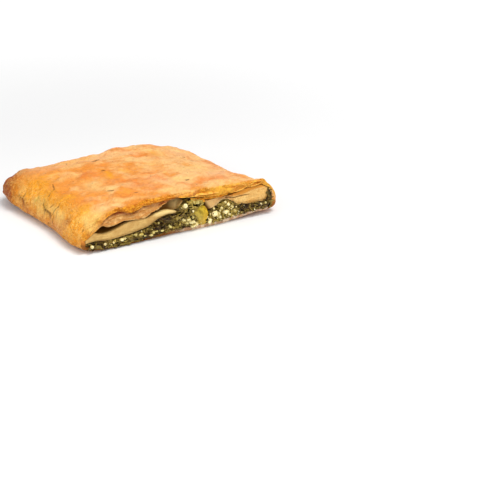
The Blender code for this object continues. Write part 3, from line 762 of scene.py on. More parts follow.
def gap_to_line(points, start, end):
    """How far each point is from the straight line between these two."""
    start, run = np.array(start, float), np.subtract(end, start).astype(float)
    share = np.clip((points - start) @ run / max(run @ run, 1e-9), 0, 1)
    return np.linalg.norm(points - start - share[:, None] * run, axis=1)


def near_marks(points, marks):
    """How strongly these soft-edged marks cover each point, given in millimetres."""
    cover = np.zeros(len(points))
    for start, end, reach, strength in marks:
        gap = gap_to_line(points, start, end)
        cover = np.maximum(cover, strength * np.exp(-0.45 * (gap / reach) ** 2))
    return cover


def near_cracks(points):
    """How near each point is to a crack, 0 to 1, and how deep it is pressed in there."""
    waver = np.stack([noise(points, 0.0014, seed) for seed in (61, 62)], -1)
    plan_points = points[:, :2] * 1000 + CRACK_WAVER * waver
    cover, depth = np.zeros(len(points)), np.zeros(len(points))
    for line, half_width, deep in CRACKS:
        for start, end in zip(line[:-1], line[1:]):
            gap = gap_to_line(plan_points, start, end)
            near = np.exp(-((gap / (CRACK_SPREAD * half_width)) ** 2))
            cover, depth = np.maximum(cover, near), np.maximum(depth, near * CRACK_SINK * deep / 1000)
    upper = points[:, 2] > CRACK_FOOT
    return cover * upper, depth * upper


def rim_layers(face, x, share):
    """How far the flaky layers of the top crust's cut edge stand in or out."""
    layers = 0.00065 * noise(face * (0.5, 0, 2.6), 0.0013, 5) + 0.0007 * noise(face * (1, 0, 2), 0.0045, 6)
    lumpy = 0.0013 * noise(face * (1, 0, 1), 0.0022, 7) * between(x, 0.062, 0.090, 0.004)
    layers += lumpy - 0.0008 * between(x, 0.062, 0.090, 0.006) * np.sin(np.pi * share)
    for middle, height, half_width, half_height in CURLS:
        across, up = (x - middle) / half_width, (face[:, :, 2] - height) / half_height
        layers += 0.0005 * np.exp(-(across**2) - up**2)
    return layers


def rim_face(top_line, inner_line):
    """The top crust's cut edge: golden lip above, a step, and the second sheet's face under it."""
    face = span(top_line, inner_line, RIM_RINGS)
    share = np.linspace(0, 1, RIM_RINGS + 1)[:, None]
    x, high, low = face[0, :, 0], face[0, :, 2], face[-1, :, 2]
    free = between(x, 0.004, 0.1175, 0.003)
    lip = np.clip(along(x, LIP, 0.0006), mix(high, low, 0.9), mix(high, low, 0.2))
    lip = mix(mix(high, low, 0.5), lip, free)
    face[:, :, 2] = np.where(share < 0.5, mix(high, lip, 2 * share), mix(lip, low, 2 * share - 1))
    second = ease((lip - low) / 0.0015) * free
    loose = amid(share, 0.3) * free
    behind = 0.0011 * second * ease((share - 0.5) / 0.1)
    open_here = 0.75 + 0.6 * noise(face * (1, 0, 0), 0.0060, 9)
    notch = 0.0028 * second * open_here * np.exp(-(((share - 0.52) / 0.05) ** 2))
    face[:, :, 1] += (rim_layers(face, x, share) - 0.0004 + behind + notch) * loose
    return face


def crust_patches():
    u, v = grid(CRUST_ACROSS, CRUST_DEEP)
    v = 0.8 * v + 0.2 * v**2
    x, y = plan(u, v)
    top, base = at(x, y, rim_top(u, v)), at(x, y, skin_base(u, v))
    side, end = SIDE_WALL / CUT_WIDTH, END_WALL / LENGTH
    u, v = grid(CRUST_ACROSS, INNER_ROWS)
    u, v = mix(side, 1 - side, u), (1 - end) * v**1.6
    x, y = plan(u, v)
    inner_top, inner_base = at(x, y, ceiling(u, v)), at(x, y, floor(u, v))
    outer = block(top, base, CRUST_SIDE)[1:]
    outer[1] = coarse(base, HIDDEN_STEP)
    inner = block(inner_top, inner_base, CRUST_SIDE)[1:]
    rim = [rim_face(top[0], inner_top[0]), span(base[0], inner_base[0], RIM_RINGS)]
    for number in (-2, -1):
        rim.append(span(outer[number][:, 0], inner[number][:, 0], RIM_RINGS))
    return outer, rim, inner


def crust_relief(points):
    """How far the outer skin stands out at each point."""
    x, y, z = points.T
    streaked = turned_plan(points, 25, 2.4)
    left = 1 - ease((x - 0.003) / 0.008)
    relief = 0.00046 * clouds(points, 0.0075, 3) + 0.00024 * clouds(streaked, 0.0024, 9, 2)
    relief -= 0.00026 * creases(streaked, 0.0042, 12) ** 2
    relief += left * (0.00036 * clouds(points, 0.0032, 15) - 0.00038 * creases(points, 0.0042, 18) ** 2)
    back = between(x, 0.045, 0.108, 0.02) * ease((y - 0.080) / 0.008)
    relief += 0.0005 * back * noise(points, 0.0065, 33)
    for at_x, at_y, reach, height in BUMPS:
        relief += height * np.exp(-((x - at_x) ** 2 + (y - at_y) ** 2) / reach**2)
    return relief * ease((z - 0.001) / 0.004)


def paint_marks(mesh, points, skin, left):
    """Paints the marks of the crust on its skin, with uneven edges, and painted shade low down on it."""
    uneven = points * 1000 + 1.2 * np.stack([clouds(points, 0.005, seed) for seed in (50, 60, 70)], -1)
    # painted shade: the crust gets darker towards the table, laid on with the dark marks
    low = 0.3 * (1 - ease((points[:, 2] - 0.0015) / 0.006))
    covers = {name: near_marks(uneven, marks) for name, marks in MARKS.items()}
    covers["gold"] = np.clip(covers["gold"] + left, 0, 1)
    covers["brown"] = np.clip(covers["brown"] + low, 0, 1)
    paint(mesh, **{name: cover * skin for name, cover in covers.items()})


def paint_rim(mesh, points, is_outer, is_face, is_edge):
    """Paints the crust at the cut: golden lip, painted shadow under the lip, second sheet and base edge."""
    x, y, z = points.T
    over_lip, golden = z - along(x, LIP, 0.0006), along(x, RIM_GOLD)
    below = is_face & (over_lip < -0.0002) & (x > SECOND_SHEET[0]) & (x < SECOND_SHEET[1])
    at_rim = np.exp(-np.maximum(y, 0) / 0.0018) * ease((z - 0.008) / 0.006)
    at_rim = at_rim * (0.75 + 0.25 * noise(points, 0.003, 44)) * golden
    # painted shadow under the lip, in a band along the lip's lower line
    scorch = is_face * np.exp(-(((over_lip + 0.0011) / 0.0010) ** 2)) * along(x, RIM_LIP_SHADOW)
    low_edge, right_edge = 1 - ease((z - 0.004) / 0.004), 0.5 * (x > 0.115) * (z < 0.006)
    paint(
        mesh,
        lip=np.where(is_face, (1.0 - below) * mix(0.5, 1.0, golden), at_rim * is_outer),
        scorch=scorch * np.clip(0.9 + 0.6 * noise(points, 0.0030, 45), 0, 1),
        second=below * 1.0,
        under=is_edge * np.maximum(low_edge, right_edge),
        # darker base edge at the left and at the right end: partly baked colour, partly painted shade
        browned=1 - ease((x - 0.048) / 0.024) * (x < 0.1150),
        sunny=ease((x - 0.072) / 0.010),
    )


def make_crust(look):
    outer, rim, inner = crust_patches()
    points, faces, number = weld(outer + rim + inner)
    mesh = make_mesh("crust_case", points, faces)
    is_outer = number < len(outer)
    is_inner = number >= len(outer) + len(rim)
    is_face = number == len(outer)
    is_edge = ~is_outer & ~is_inner & ~is_face
    crack, depth = near_cracks(points)
    frayed = 0.00035 * is_edge * noise(points, 0.0017, 8)
    displace(mesh, np.where(is_outer, crust_relief(points) - depth, frayed))
    x, y, z = points.T
    left = 0.85 * (1 - ease((x - 0.001) / 0.017)) * (1 - 0.5 * ease((y - 0.072) / 0.02))
    fair = np.maximum(ease((x - 0.045) / 0.040), 0.8 * ease((y - 0.070) / 0.030))
    paint_marks(mesh, points, is_outer | is_face, left)
    paint_rim(mesh, points, is_outer, is_face, is_edge)
    paint(
        mesh,
        fair=fair * ease((z - 0.010) / 0.006),
        worn=left * is_outer,
        # painted shade on the inner sides of the case
        inside=is_inner * 0.9,
        crack=crack * is_outer,
    )
    return finish(mesh, look, "crust")


# Flakes that stand out of the rim. Their line at the cut, how far they stand out and droop,
# their thickness, and how much they belong to the second sheet
FLAKES = (
    (((0.012, 0.0160), (0.016, 0.0186), (0.021, 0.0202), (0.026, 0.0192), (0.031, 0.0196), (0.038, 0.0209),
      (0.047, 0.0210), (0.057, 0.0212)), 0.0012, -0.0003, 0.00045, 0.0),
    (((0.014, 0.0172), (0.018, 0.0190), (0.023, 0.0199), (0.028, 0.0180), (0.031, 0.0173), (0.037, 0.0197),
      (0.046, 0.0200), (0.055, 0.0205)), 0.0008, -0.0001, 0.00040, 0.1),
    (((0.010, 0.0134), (0.014, 0.0139), (0.019, 0.0127), (0.027, 0.0143), (0.035, 0.0132), (0.040, 0.0146),
      (0.046, 0.0166), (0.051, 0.0188)), 0.0007, 0.0, 0.00050, 1.0),
    (((0.016, 0.0150), (0.022, 0.0166), (0.028, 0.0160), (0.034, 0.0158), (0.040, 0.0168)),
     0.0003, 0.0, 0.00035, 1.0),
    (((0.058, 0.0211), (0.064, 0.0203), (0.070, 0.0202), (0.077, 0.0196), (0.084, 0.0192), (0.090, 0.0190)),
     0.0019, -0.0012, 0.00060, 0.0),
    (((0.064, 0.0199), (0.070, 0.0186), (0.076, 0.0176), (0.082, 0.0174), (0.088, 0.0176)),
     0.0015, -0.0006, 0.00050, 0.0),
    (((0.086, 0.0196), (0.092, 0.0201), (0.098, 0.0203), (0.104, 0.0199), (0.112, 0.0192)),
     0.0013, 0.0002, 0.00045, 0.0),
    (((0.088, 0.0172), (0.093, 0.0168), (0.098, 0.0176), (0.105, 0.0180), (0.112, 0.0178)),
     0.0008, 0.0, 0.00045, 0.6),
    (((0.088, 0.0183), (0.096, 0.0187), (0.104, 0.0189), (0.111, 0.0185)), 0.0010, 0.0, 0.00035, 0.2),
    (((0.0655, 0.0186), (0.0690, 0.0178), (0.0720, 0.0168), (0.0745, 0.0160)),
     0.0022, -0.0018, 0.00060, 0.0),
    (((0.0740, 0.0168), (0.0790, 0.0164), (0.0840, 0.0163), (0.0890, 0.0167)),
     0.0011, -0.0009, 0.00050, 0.0),
)
FLAKE_ROOT = 0.0016  # how far behind the cut they begin
FLAKE_CELL = 0.00025  # the length of their faces


def flake(line, stands_out, droop, thickness, seed):
    """A thin ragged leaf along a line at the cut."""
    length = line[-1][0] - line[0][0]
    a, b = grid(int(length / FLAKE_CELL), 9)
    x = mix(line[0][0], line[-1][0], a)
    spots = at(x, 0.0, 0.01 * seed)
    ragged = 0.65 + 0.35 * noise(spots, 0.0022, seed) + 0.22 * noise(spots, 0.0007, seed + 20)
    out = stands_out * np.maximum(ragged, 0.12) * np.sin(np.pi * mix(0.04, 0.96, a)) ** 0.5
    wavy = 0.00035 * b * clouds(spots + 0.3 * at(0.0, b * 0.001, 0.0), 0.0030, seed + 40, 2)
    z = along(x, line, 0.0006) + wavy + droop * b**2
    return weld(sheet(at(x, mix(FLAKE_ROOT, -out, b), z), thickness * mix(1.0, 0.35, b)))[:2]


def curl(middle, height, half_width, half_height):
    """A flake that has rolled into a flat loop, seen from its open end."""
    a, b = grid(60, 8)
    turn = np.radians(mix(-215, 150, a))
    size = mix(1.08, 0.86, a) * (1 + 0.06 * np.sin(5 * turn))
    x = middle + half_width * np.cos(turn) * size
    z = height + half_height * np.sin(turn) * size + 0.10 * (x - middle)
    y = mix(0.0010, -0.0010 - 0.0002 * np.sin(3 * turn), b)
    return weld(sheet(at(x, y, z), np.full_like(x, 0.00045)))[:2]


def make_flakes(look):
    parts, second = [], []
    for seed, (*line_and_size, share) in enumerate(FLAKES, start=1):
        parts.append(flake(*line_and_size, seed))
        second.append(share)
    for place_and_size in CURLS:
        parts.append(curl(*place_and_size))
        second.append(0.0)
    points, faces, number = joined(parts)
    mesh = make_mesh("crust_flakes", points, faces)
    # edge: painted highlight on the tips that stand out of the cut
    paint(mesh, second=np.array(second)[number], edge=ease((-points[:, 1] - 0.0004) / 0.0008))
    return finish(mesh, look, "crust")


# ---------------------------------------------------------------- the pale sheets

SHEETS_ACROSS, SHEETS_ROWS, SHEETS_FACE = 320, 34, 34  # their faces each way
TONGUE_END, BAND_START = 0.0616, 0.0752  # the heap stands between them
# The long slit in the band's face
BAND_SPLIT = ((0.0870, 0.0128), (0.0890, 0.0131), (0.0920, 0.0129), (0.0960, 0.0131), (0.1030, 0.0129))
SPLIT_REACH = (0.0885, 0.1025, 0.003)  # from here to here, with soft ends this long
# The hollow at the band's left end, from here to here with soft ends: its form, and its colour
HOLLOW, HOLLOW_COLOUR = (0.0735, 0.0915, 0.003), (0.0735, 0.0920, 0.003)
# Where the golden brown upper part of the band begins
RIND = ((0.088, 0.0134), (0.096, 0.0130), (0.101, 0.0134), (0.104, 0.0142), (0.108, 0.0146), (0.114, 0.0146))


def inner_plan(count_across, count_deep, packing):
    """Shares over the inside of the case, with rows packed towards the cut, and the share where it ends."""
    u, v = grid(count_across, count_deep)
    side, end = (SIDE_WALL + GAP) / CUT_WIDTH, (END_WALL + GAP) / LENGTH
    return mix(side, 1 - side, u), v**packing, 1 - end


def sheets_front(x):
    """How far the sheets' face stands behind the cut: far back behind the heap."""
    return 0.0100 * between(x, TONGUE_END, BAND_START, 0.0020)


def shape_sheets_face(face, height, free):
    """Rounds the sheets' cut face, splits the band and sinks the hollow at the band's left end."""
    x, z = face[:, :, 0], face[:, :, 2]
    level = np.linspace(1, 0, len(face))[:, None]
    loose = amid(level, 0.2) * free
    rounding = np.minimum(0.0010, 0.3 * height) * abs(2 * level - 1) ** 7
    uneven = 0.00016 * noise(face * (1, 1, 2.5), 0.0060, 31)
    uneven = uneven + 0.00010 * noise(face * (0.4, 1, 2.5), 0.0012, 32)
    split = np.exp(-(((z - along(x, BAND_SPLIT)) / 0.00024) ** 2)) * between(x, *SPLIT_REACH)
    hollow = between(x, *HOLLOW)
    face[:, :, 1] += (rounding + uneven + 0.0015 * split + 0.0024 * hollow) * loose


def paint_sheets(mesh, points):
    """Paints the sheets' golden band top, slit, the painted highlight on the tongue's top edge, and painted
    shade in the crescent, the pocket, the crevice and the top of the hollow.
    """
    x, y, z = points.T
    band, hollow = ease((x - 0.068) / 0.004), between(x, *HOLLOW_COLOUR)
    # painted highlight: the tongue's top edge at the cut is paler
    tongue = between(x, 0.0430, 0.0580, 0.005) * ease((z - 0.0112) / 0.002) * (y < 0.0014)
    # painted shade: the sheets' top behind the cut, in the crescent, goes dark
    shaded = ease((y - 0.0002) / 0.0010) * (1 - ease((x - 0.0455) / 0.004))
    # painted shade on the pocket's far wall
    far_wall = ease((y - 0.0012) / 0.0010) * (1 - ease((x - 0.0520) / 0.0080))
    slit = np.exp(-(((z - along(x, BAND_SPLIT)) / 0.00026) ** 2)) * between(x, *SPLIT_REACH)
    rinds = (
        # painted shade at the top of the hollow, under the rim
        0.6 * hollow * ease((z - 0.0142) / 0.0015),
        band * ease((z - along(x, RIND)) / 0.0014),
        0.30 * ease((x - 0.098) / 0.006),
    )
    paint(
        mesh,
        band=band,
        hollow=hollow,
        rind=np.maximum.reduce(rinds),
        # edge: painted highlight on the tongue's top edge
        edge=0.9 * tongue,
        # crack: the slit's dark line, and painted shade at the top of the hollow under the rim
        crack=np.maximum(0.8 * slit, 0.6 * hollow * ease((z - 0.0144) / 0.0008)),
        # deep: painted shade in the crescent, on the pocket's far wall and in the crevice beside the lump
        deep=np.maximum(np.maximum(0.65 * shaded, far_wall), in_crevice(x, z, 0.0022) * (x < 0.085)),
        wall=ease((y - 0.0022) / 0.0012) * between(x, 0.046, 0.064, 0.006),
    )


def make_sheets(look):
    u, v, end = inner_plan(SHEETS_ACROSS, SHEETS_ROWS, 1.7)
    v = mix(sheets_front(u * CUT_WIDTH) / LENGTH, end, v)
    x, y = plan(u, v)
    low = heaped_top(u, v) + GAP
    high = np.maximum(sheets_top(u, v), low + 0.0003)
    patches = block(at(x, y, high), at(x, y, low), SHEETS_FACE)
    free = between(u[:1] * CUT_WIDTH, 0.004, 0.116, 0.002)
    shape_sheets_face(patches[0], (high - low)[:1], free)
    points, faces, _ = weld(patches)
    mesh = make_mesh("inner_sheets", points, faces)
    paint_sheets(mesh, points)
    return finish(mesh, look, "inner_pastry")


# ---------------------------------------------------------------- the filling

CORE_ACROSS, CORE_ROWS, CORE_FACE = 300, 20, 40  # its faces each way
SHREDS, END_SHREDS, HEAP_LEAVES = 700, 44, 46  # how many there are
# Half length, half width and bend of the shreds and of the heap's leaves, from and to
SHRED_SIZES = ((0.0010, 0.0046), (0.0003, 0.0010), (0.0003, 0.0010))
LEAF_SIZES = ((0.0020, 0.0046), (0.0010, 0.0024), (0.0006, 0.0015))
SHRED_LIMITS = (0.0020, 0.1180)  # no shred's tip passes these distances along the cut
SPILL = (0.0007, 0.0015, 0.0008)  # shreds spill down over the base, more so at the left, and up at the right
SMALL_CRUMBS = 115
MOST_CRUMBS = (0.058, 0.099, 0.85)  # from here to here there is this share of them
# How pale the shreds are along the cut, on the whole
TONES = (
    (0.004, 0.25), (0.016, 0.25), (0.026, 0.50), (0.038, 0.40), (0.044, 0.02), (0.053, 0.00),
    (0.058, 0.46), (0.066, 0.52), (0.072, 0.50), (0.078, 0.62), (0.090, 0.75), (0.095, 0.50),
    (0.099, 0.12), (0.116, 0.14),
)
LOW_PATCH = 0.22  # how much paler they are low down, under the tongue's tip
CREVICE = ((0.0722, 0.0134), (0.0752, 0.0110), (0.0776, 0.0066))  # between the lump and the crumbs
FURTHEST_OUT = 0.0024  # how far a shred may stand out of the cut
FULL_FACE = 0.014  # the filling's height in the cut where no place for a shred is dropped
SHRED_SEED, CRUMB_SEED, LUMP_SEED = 7, 11, 3
# Crumbs that stand out: distance, height, half width and half height in millimetres, and how green
SHOWN_CRUMBS = (
    (79.6, 6.9, 1.7, 1.6, 0.0), (81.6, 6.2, 1.2, 1.4, 0.8), (86.6, 6.6, 1.5, 1.2, 0.0),
    (61.5, 14.9, 1.3, 1.1, 0.1), (66.1, 11.2, 0.6, 0.7, 0.0), (76.3, 3.6, 1.2, 1.7, 0.0),
    (60.4, 7.2, 1.3, 0.8, 0.6), (63.0, 6.7, 1.5, 0.9, 0.5), (65.4, 5.0, 1.8, 1.2, 0.4),
    (67.6, 3.4, 1.5, 1.1, 0.2), (65.6, 2.6, 1.3, 0.7, 0.5), (62.0, 5.2, 1.1, 0.7, 0.7),
    (13.0, 3.8, 0.7, 0.6, 0.0), (5.5, 3.6, 0.9, 1.0, 0.2), (22.8, 4.0, 1.0, 0.7, 0.2),
    (24.4, 4.4, 0.9, 0.5, 0.5), (88.2, 10.6, 0.9, 0.9, 0.0), (84.0, 9.2, 0.8, 0.7, 0.5),
    (82.8, 4.4, 0.9, 0.7, 0.3), (90.6, 8.8, 0.9, 0.8, 0.6), (79.0, 10.0, 0.7, 0.6, 0.6),
    (92.4, 6.2, 0.8, 0.6, 0.6), (88.6, 5.0, 1.0, 0.7, 0.5), (86.2, 12.2, 0.8, 0.7, 0.5),
    (68.6, 15.6, 1.1, 0.8, 0.9), (66.4, 16.0, 1.0, 0.7, 0.9),
    (109.5, 6.4, 0.7, 0.7, 0.0), (112.4, 6.8, 0.6, 0.6, 0.5),
    (34.0, 4.6, 1.4, 0.4, 1.0), (31.0, 5.2, 0.9, 0.4, 0.9), (65.4, 7.8, 1.1, 1.3, 0.9),
    (43.0, 4.6, 1.3, 0.5, 1.0), (46.5, 4.2, 1.5, 0.6, 0.9), (36.5, 3.6, 0.9, 0.5, 0.9),
    (40.3, 3.0, 1.0, 0.6, 0.7), (41.6, 4.2, 0.9, 0.7, 0.8), (51.5, 5.4, 1.4, 0.9, 1.0),
)
LUMP = (0.0711, 0.0081, 0.0046, 0.0056)  # distance, height, half width and half height
LUMP_DEPTH, LUMP_LEAN = 0.0026, 0.20


def room(x):
    """The lowest and highest place that filling has in the cut, at these distances along it."""
    u, v = x / CUT_WIDTH, np.zeros_like(x)
    return floor(u, v) + GAP, heaped_top(u, v)


def in_crevice(x, z, reach):
    """How surely this place in the cut lies in the dark crevice beside the lump, 0 to 1."""
    gap = 1.0
    for (x_a, z_a), (x_b, z_b) in zip(CREVICE[:-1], CREVICE[1:]):
        run_x, run_z = x_b - x_a, z_b - z_a
        share = np.clip(((x - x_a) * run_x + (z - z_a) * run_z) / (run_x**2 + run_z**2), 0, 1)
        gap = np.minimum(gap, np.hypot(x - x_a - share * run_x, z - z_a - share * run_z))
    return 1 - ease(gap / reach - 0.5)


def on_lump(x, z, margin):
    """Whether this place in the cut lies on the yellow-green lump."""
    middle, height, half_width, half_height = LUMP
    across = (x - middle + LUMP_LEAN * (z - height)) / (half_width + margin)
    up = (z - height) / (half_height + margin)
    return across**2 + up**2 < 1


def make_core(look):
    """The filling's closed body, which shows dark between the shreds and crumbs."""
    u, v, end = inner_plan(CORE_ACROSS, CORE_ROWS, 1.8)
    v = v * end
    x, y = plan(u, v)
    patches = block(at(x, y, heaped_top(u, v)), at(x, y, floor(u, v) + GAP), CORE_FACE)
    face = patches[0]
    share = np.linspace(0, 1, CORE_FACE + 1)[:, None]
    free = between(face[:, :, 0], 0.004, 0.116, 0.002)
    loose = amid(share, 0.3) * free
    crevice = in_crevice(face[:, :, 0], face[:, :, 2], 0.0010)
    face[:, :, 1] += (0.0006 + 0.0013 * clouds(face, 0.0030, 71) + 0.0040 * crevice) * loose
    points, faces, _ = weld(patches)
    mesh = make_mesh("spinach_core", points, faces)
    x, _, z = points.T
    tone = 0.04 + 0.3 * noise(points, 0.0025, 81) + 0.3 * between(x, 0.078, 0.095, 0.004)
    # painted shade: the spinach is darkest in the crevice beside the lump
    paint(mesh, tone=np.clip(tone - in_crevice(x, z, 0.0012), 0, 1))
    return finish(mesh, look, "filling")


def leaf(rng, length, width, bend, thickness=0.00022):
    """A thin wavy scrap round the origin, facing -Y, as (points, faces)."""
    a, b = (2 * share - 1 for share in grid(8, 3))
    outline = np.sqrt(np.clip(1 - 0.88 * a**2, 0, 1)) * (1 + 0.28 * np.sin(5 * a + rng.uniform(0, 6)))
    wave = np.cos(rng.uniform(1, 3.5) * a + rng.uniform(0, 6)) + rng.uniform(-0.6, 0.6) * b**2
    wave += 0.35 * np.sin(rng.uniform(3, 7) * b + rng.uniform(0, 6))
    z = b * width * outline + 0.15 * length * np.sin(2.5 * a + rng.uniform(0, 6))
    return weld(sheet(at(a * length, -bend * wave, z), np.full_like(a, thickness)))[:2]


def turned(rng, tilt):
    """A turn in the cut's plane, mostly a small one, with a tilt out of it."""
    spreads = (("Y", 0.7), ("X", tilt), ("Z", tilt))
    turn, nod, yaw = (Matrix.Rotation(rng.normal(0, spread), 3, axis) for axis, spread in spreads)
    return np.array(turn @ nod @ yaw)


def placed(part, turn, place, low, high):
    """The part turned and moved to its place, and pressed in between two heights."""
    points = part[0] @ turn.T + place
    middle, half = (low + high) / 2, (high - low) / 2 + 0.0001
    points[:, 2] = middle + half * np.tanh((points[:, 2] - middle) / half)
    points[:, 1] = np.maximum(points[:, 1], -FURTHEST_OUT)
    return points, part[1]


def scatter(rng, count):
    """Random places in the filling's face: distance, height, and the lowest and highest there."""
    tries = 6 * count  # enough, though many are dropped
    x = rng.uniform(0.0040, 0.1165, tries)
    low, high = room(x)
    low, high = low - mix(SPILL[1], SPILL[0], ease((x - 0.035) / 0.030)), high + SPILL[2] * (x > 0.093)
    z = rng.uniform(low, high)
    keep = (rng.random(tries) < (high - low) / FULL_FACE) & ~on_lump(x, z, 0.0004)
    keep &= in_crevice(x, z, 0.0012) < 0.3
    return list(zip(x[keep], z[keep], low[keep], high[keep]))[:count]


def tone_at(x, z):
    """How pale shreds are on the whole at this place in the cut, in soft patches."""
    low_patch = LOW_PATCH * between(x, 0.0470, 0.0580, 0.006) * (1 - ease((z - 0.0060) / 0.003))
    return float(along(x, TONES) + low_patch + 0.55 * clouds(np.array([x, 0.3, z]), 0.0032, 85, 2))


def loose_shreds(rng):
    """Shreds all over the filling's face, as (part, tone)."""
    for x, z, low, high in scatter(rng, SHREDS):
        length, width, bend = (rng.uniform(*limits) for limits in SHRED_SIZES)
        length = min(length, x - SHRED_LIMITS[0], SHRED_LIMITS[1] - x)
        part = leaf(rng, length, width, bend)
        turn, y = turned(rng, 0.5), rng.uniform(-0.0010, 0.0001)
        yield placed(part, turn, (x, y, z), low, high), tone_at(x, z) + rng.normal(-0.05, 0.26)


def end_shreds(rng):
    """Dark shreds that climb the right end of the cut, as (part, tone)."""
    for _ in range(END_SHREDS):
        x = rng.uniform(0.1142, 0.1166)
        z = rng.uniform(0.0055, float(along(x, SHEETS_TOP)) - 0.0002)
        points, faces = leaf(rng, rng.uniform(0.0006, 0.0011), rng.uniform(0.0003, 0.0008), 0.0004)
        points = points @ turned(rng, 0.5).T + (x, rng.uniform(-0.0009, -0.0002), z)
        yield (points, faces), rng.normal(0.15, 0.22)


def heap_leaves(rng):
    """Larger leaves on the heap, beside the lump, as (part, tone)."""
    count = 0
    while count < HEAP_LEAVES:
        round_heap, out = rng.uniform(-np.pi, np.pi), 0.9 * np.sqrt(rng.uniform(0, 1))
        x = HEAP_CENTRE[0] + HEAP_RADII[0] * out * np.cos(round_heap)
        z = HEAP_CENTRE[2] + HEAP_RADII[2] * out * np.sin(round_heap)
        if on_lump(x, z, 0.0014) or in_crevice(x, z, 0.0016) > 0.3:
            continue
        low, high = (float(value) for value in room(np.array(x)))
        part = leaf(rng, *(rng.uniform(*limits) for limits in LEAF_SIZES), thickness=0.0003)
        turn, y = turned(rng, 0.6), rng.uniform(-0.0014, -0.0003)
        paler = 0.05 + 0.30 * (z > 0.0125) * (x > 0.064)
        yield placed(part, turn, (x, y, z), low, high), tone_at(x, z) + rng.normal(paler, 0.20)
        count += 1


def gathered(name, look, painted, parts_and_values):
    """A piece of the filling from many parts, each painted with its own value."""
    parts, values = zip(*parts_and_values)
    points, faces, number = joined(parts)
    mesh = make_mesh(name, points, faces)
    paint(mesh, **{painted: np.clip(values, 0, 1)[number]})
    return finish(mesh, look, "filling")


def make_shreds(look):
    rng = np.random.default_rng(SHRED_SEED)
    every = (*loose_shreds(rng), *end_shreds(rng), *heap_leaves(rng))
    return gathered("spinach_shreds", look, "tone", every)


def rough_ball(rng, fineness, roughness):
    """An uneven ball of radius 1 round the origin, as (points, faces)."""
    bm = bmesh.new()
    bmesh.ops.create_icosphere(bm, subdivisions=fineness, radius=1.0)
    points = np.array([vert.co[:] for vert in bm.verts])
    faces = [[vert.index for vert in face.verts] for face in bm.faces]
    bm.free()
    return points * (1 + roughness * clouds(points + rng.uniform(0, 50), 0.9, 3))[:, None], faces


def shown_crumbs(rng):
    """The crumbs that stand out, as (part, how green)."""
    for *place_and_size, green in SHOWN_CRUMBS:
        x, z, half_width, half_height = np.array(place_and_size) / 1000
        points, faces = rough_ball(rng, 4, 0.30)
        depth = min(half_width, 0.0012)
        yield (points * (half_width, depth, half_height) + (x, -0.0016, z), faces), green


def small_crumbs(rng):
    """Small crumbs along the cut, as (part, how green)."""
    left, right, share = MOST_CRUMBS
    for _ in range(SMALL_CRUMBS):
        x = rng.uniform(left, right) if rng.random() < share else rng.uniform(0.006, 0.116)
        low, high = (float(value) for value in room(np.array(x)))
        size = rng.uniform(0.00020, 0.00055)
        points, faces = rough_ball(rng, 2, 0.24)
        place = (x, rng.uniform(-0.0018, -0.0006), rng.uniform(low + size, high - size))
        yield (points * size * rng.uniform(0.7, 1.4, 3) + place, faces), rng.uniform(0, 0.8)


def make_cheese(look):
    rng = np.random.default_rng(CRUMB_SEED)
    return gathered("cheese_crumbs", look, "greenish", (*shown_crumbs(rng), *small_crumbs(rng)))


def make_lump(look):
    x, z, half_width, half_height = LUMP
    points, faces = rough_ball(np.random.default_rng(LUMP_SEED), 4, 0.16)
    points = points * (half_width, LUMP_DEPTH, half_height)
    across, up = points[:, 0] / half_width, points[:, 2] / half_height
    points[:, 0] -= LUMP_LEAN * points[:, 2]
    mesh = make_mesh("yellow_green_lump", points + (x, -0.0005, z), faces)
    uneven = 0.25 * noise(points, 0.0020, 4)
    greenish = ease(0.6 + uneven + 0.55 * up - 0.85 * across)
    pale = ease(0.2 + uneven - 0.5 * up - 0.9 * across - 0.6 * across**2 * (across > 0))
    paint(mesh, greenish=greenish, pale=0.22 * pale)
    return finish(mesh, look, "filling")


# ---------------------------------------------------------------- floor, light and camera

CAMERA_TURN, CAMERA_RISE, CAMERA_ROLL = -33.29, 21.55, -0.11  # degrees: round the object, up, and roll
CAMERA_PLACE = (-0.3193, -0.6435, 0.2843)  # from the left end of the cut
LENS, SENSOR = 108.0, 36.0
FLOOR_SIZE = 6.0
FLOOR_GLOW = (0.11, 0.60, 0.46)  # the floor's own light: where it starts, where it is full, how strong
WORLD_STRENGTH = 0.46
LIGHTS = (  # name, place, size and power of each
    ("key", (0.15, -0.22, 0.80), 0.40, 4.3),
    ("front", (-0.15, -0.65, 0.50), 0.50, 2.1),
    ("side", (-0.65, 0.05, 0.35), 0.40, 1.2),
)


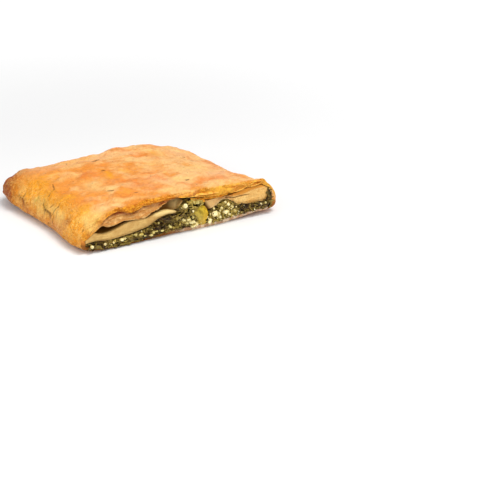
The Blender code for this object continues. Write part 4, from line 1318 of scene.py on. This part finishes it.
def make_camera():
    camera = bpy.data.objects.new("camera", bpy.data.cameras.new("camera"))
    bpy.context.scene.collection.objects.link(camera)
    camera.data.lens, camera.data.sensor_width = LENS, SENSOR
    camera.data.clip_start = 0.01
    turn, rise, roll = (np.radians(angle) for angle in (CAMERA_TURN, CAMERA_RISE, CAMERA_ROLL))
    level, tilt = Matrix.Rotation(turn, 4, "Z"), Matrix.Rotation(np.pi / 2 - rise, 4, "X")
    place = Vector(CAMERA_PLACE) - Vector((*CENTRE, 0.0))
    camera.matrix_world = Matrix.Translation(place) @ level @ tilt @ Matrix.Rotation(roll, 4, "Z")
    bpy.context.scene.camera = camera


def area_light(name, place, size, power):
    light = bpy.data.objects.new(name, bpy.data.lights.new(name, "AREA"))
    bpy.context.scene.collection.objects.link(light)
    light.data.size, light.data.energy = size, power
    light.location = place
    light.rotation_euler = (-Vector(place)).to_track_quat("-Z", "Y").to_euler()


def floor_look():
    """Pale, and glowing a little far off, where less of the lights' light falls."""
    look = Look("pale_floor")
    look.put(look.shader.inputs["Base Color"], (0.86, 0.86, 0.86))
    look.put(look.shader.inputs["Roughness"], 0.7)
    look.put(look.shader.inputs["Emission Color"], (1.0, 1.0, 1.0))
    away = look.add("ShaderNodeVectorMath", {0: look.place}, operation="LENGTH").outputs["Value"]
    near, far, strength = FLOOR_GLOW
    look.put(look.shader.inputs["Emission Strength"], look.step(away, near, far, 0.0, strength))
    return look.material


def make_studio():
    bpy.ops.mesh.primitive_plane_add(size=FLOOR_SIZE)
    ground = bpy.context.object
    ground.name = "floor"
    ground.data.materials.append(floor_look())
    world = bpy.data.worlds.new("studio")
    world.use_nodes = True
    background = world.node_tree.nodes["Background"]
    background.inputs["Color"].default_value = (1.0, 1.0, 1.0, 1.0)
    background.inputs["Strength"].default_value = WORLD_STRENGTH
    bpy.context.scene.world = world
    for light in LIGHTS:
        area_light(*light)


bpy.context.scene.view_settings.view_transform = "Standard"
make_studio()
make_camera()
make_crust(crust_look())
make_flakes(flake_look())
make_sheets(dough_look())
green = spinach_look()
make_core(green)
make_shreds(green)
make_cheese(cheese_look())
make_lump(lump_look())
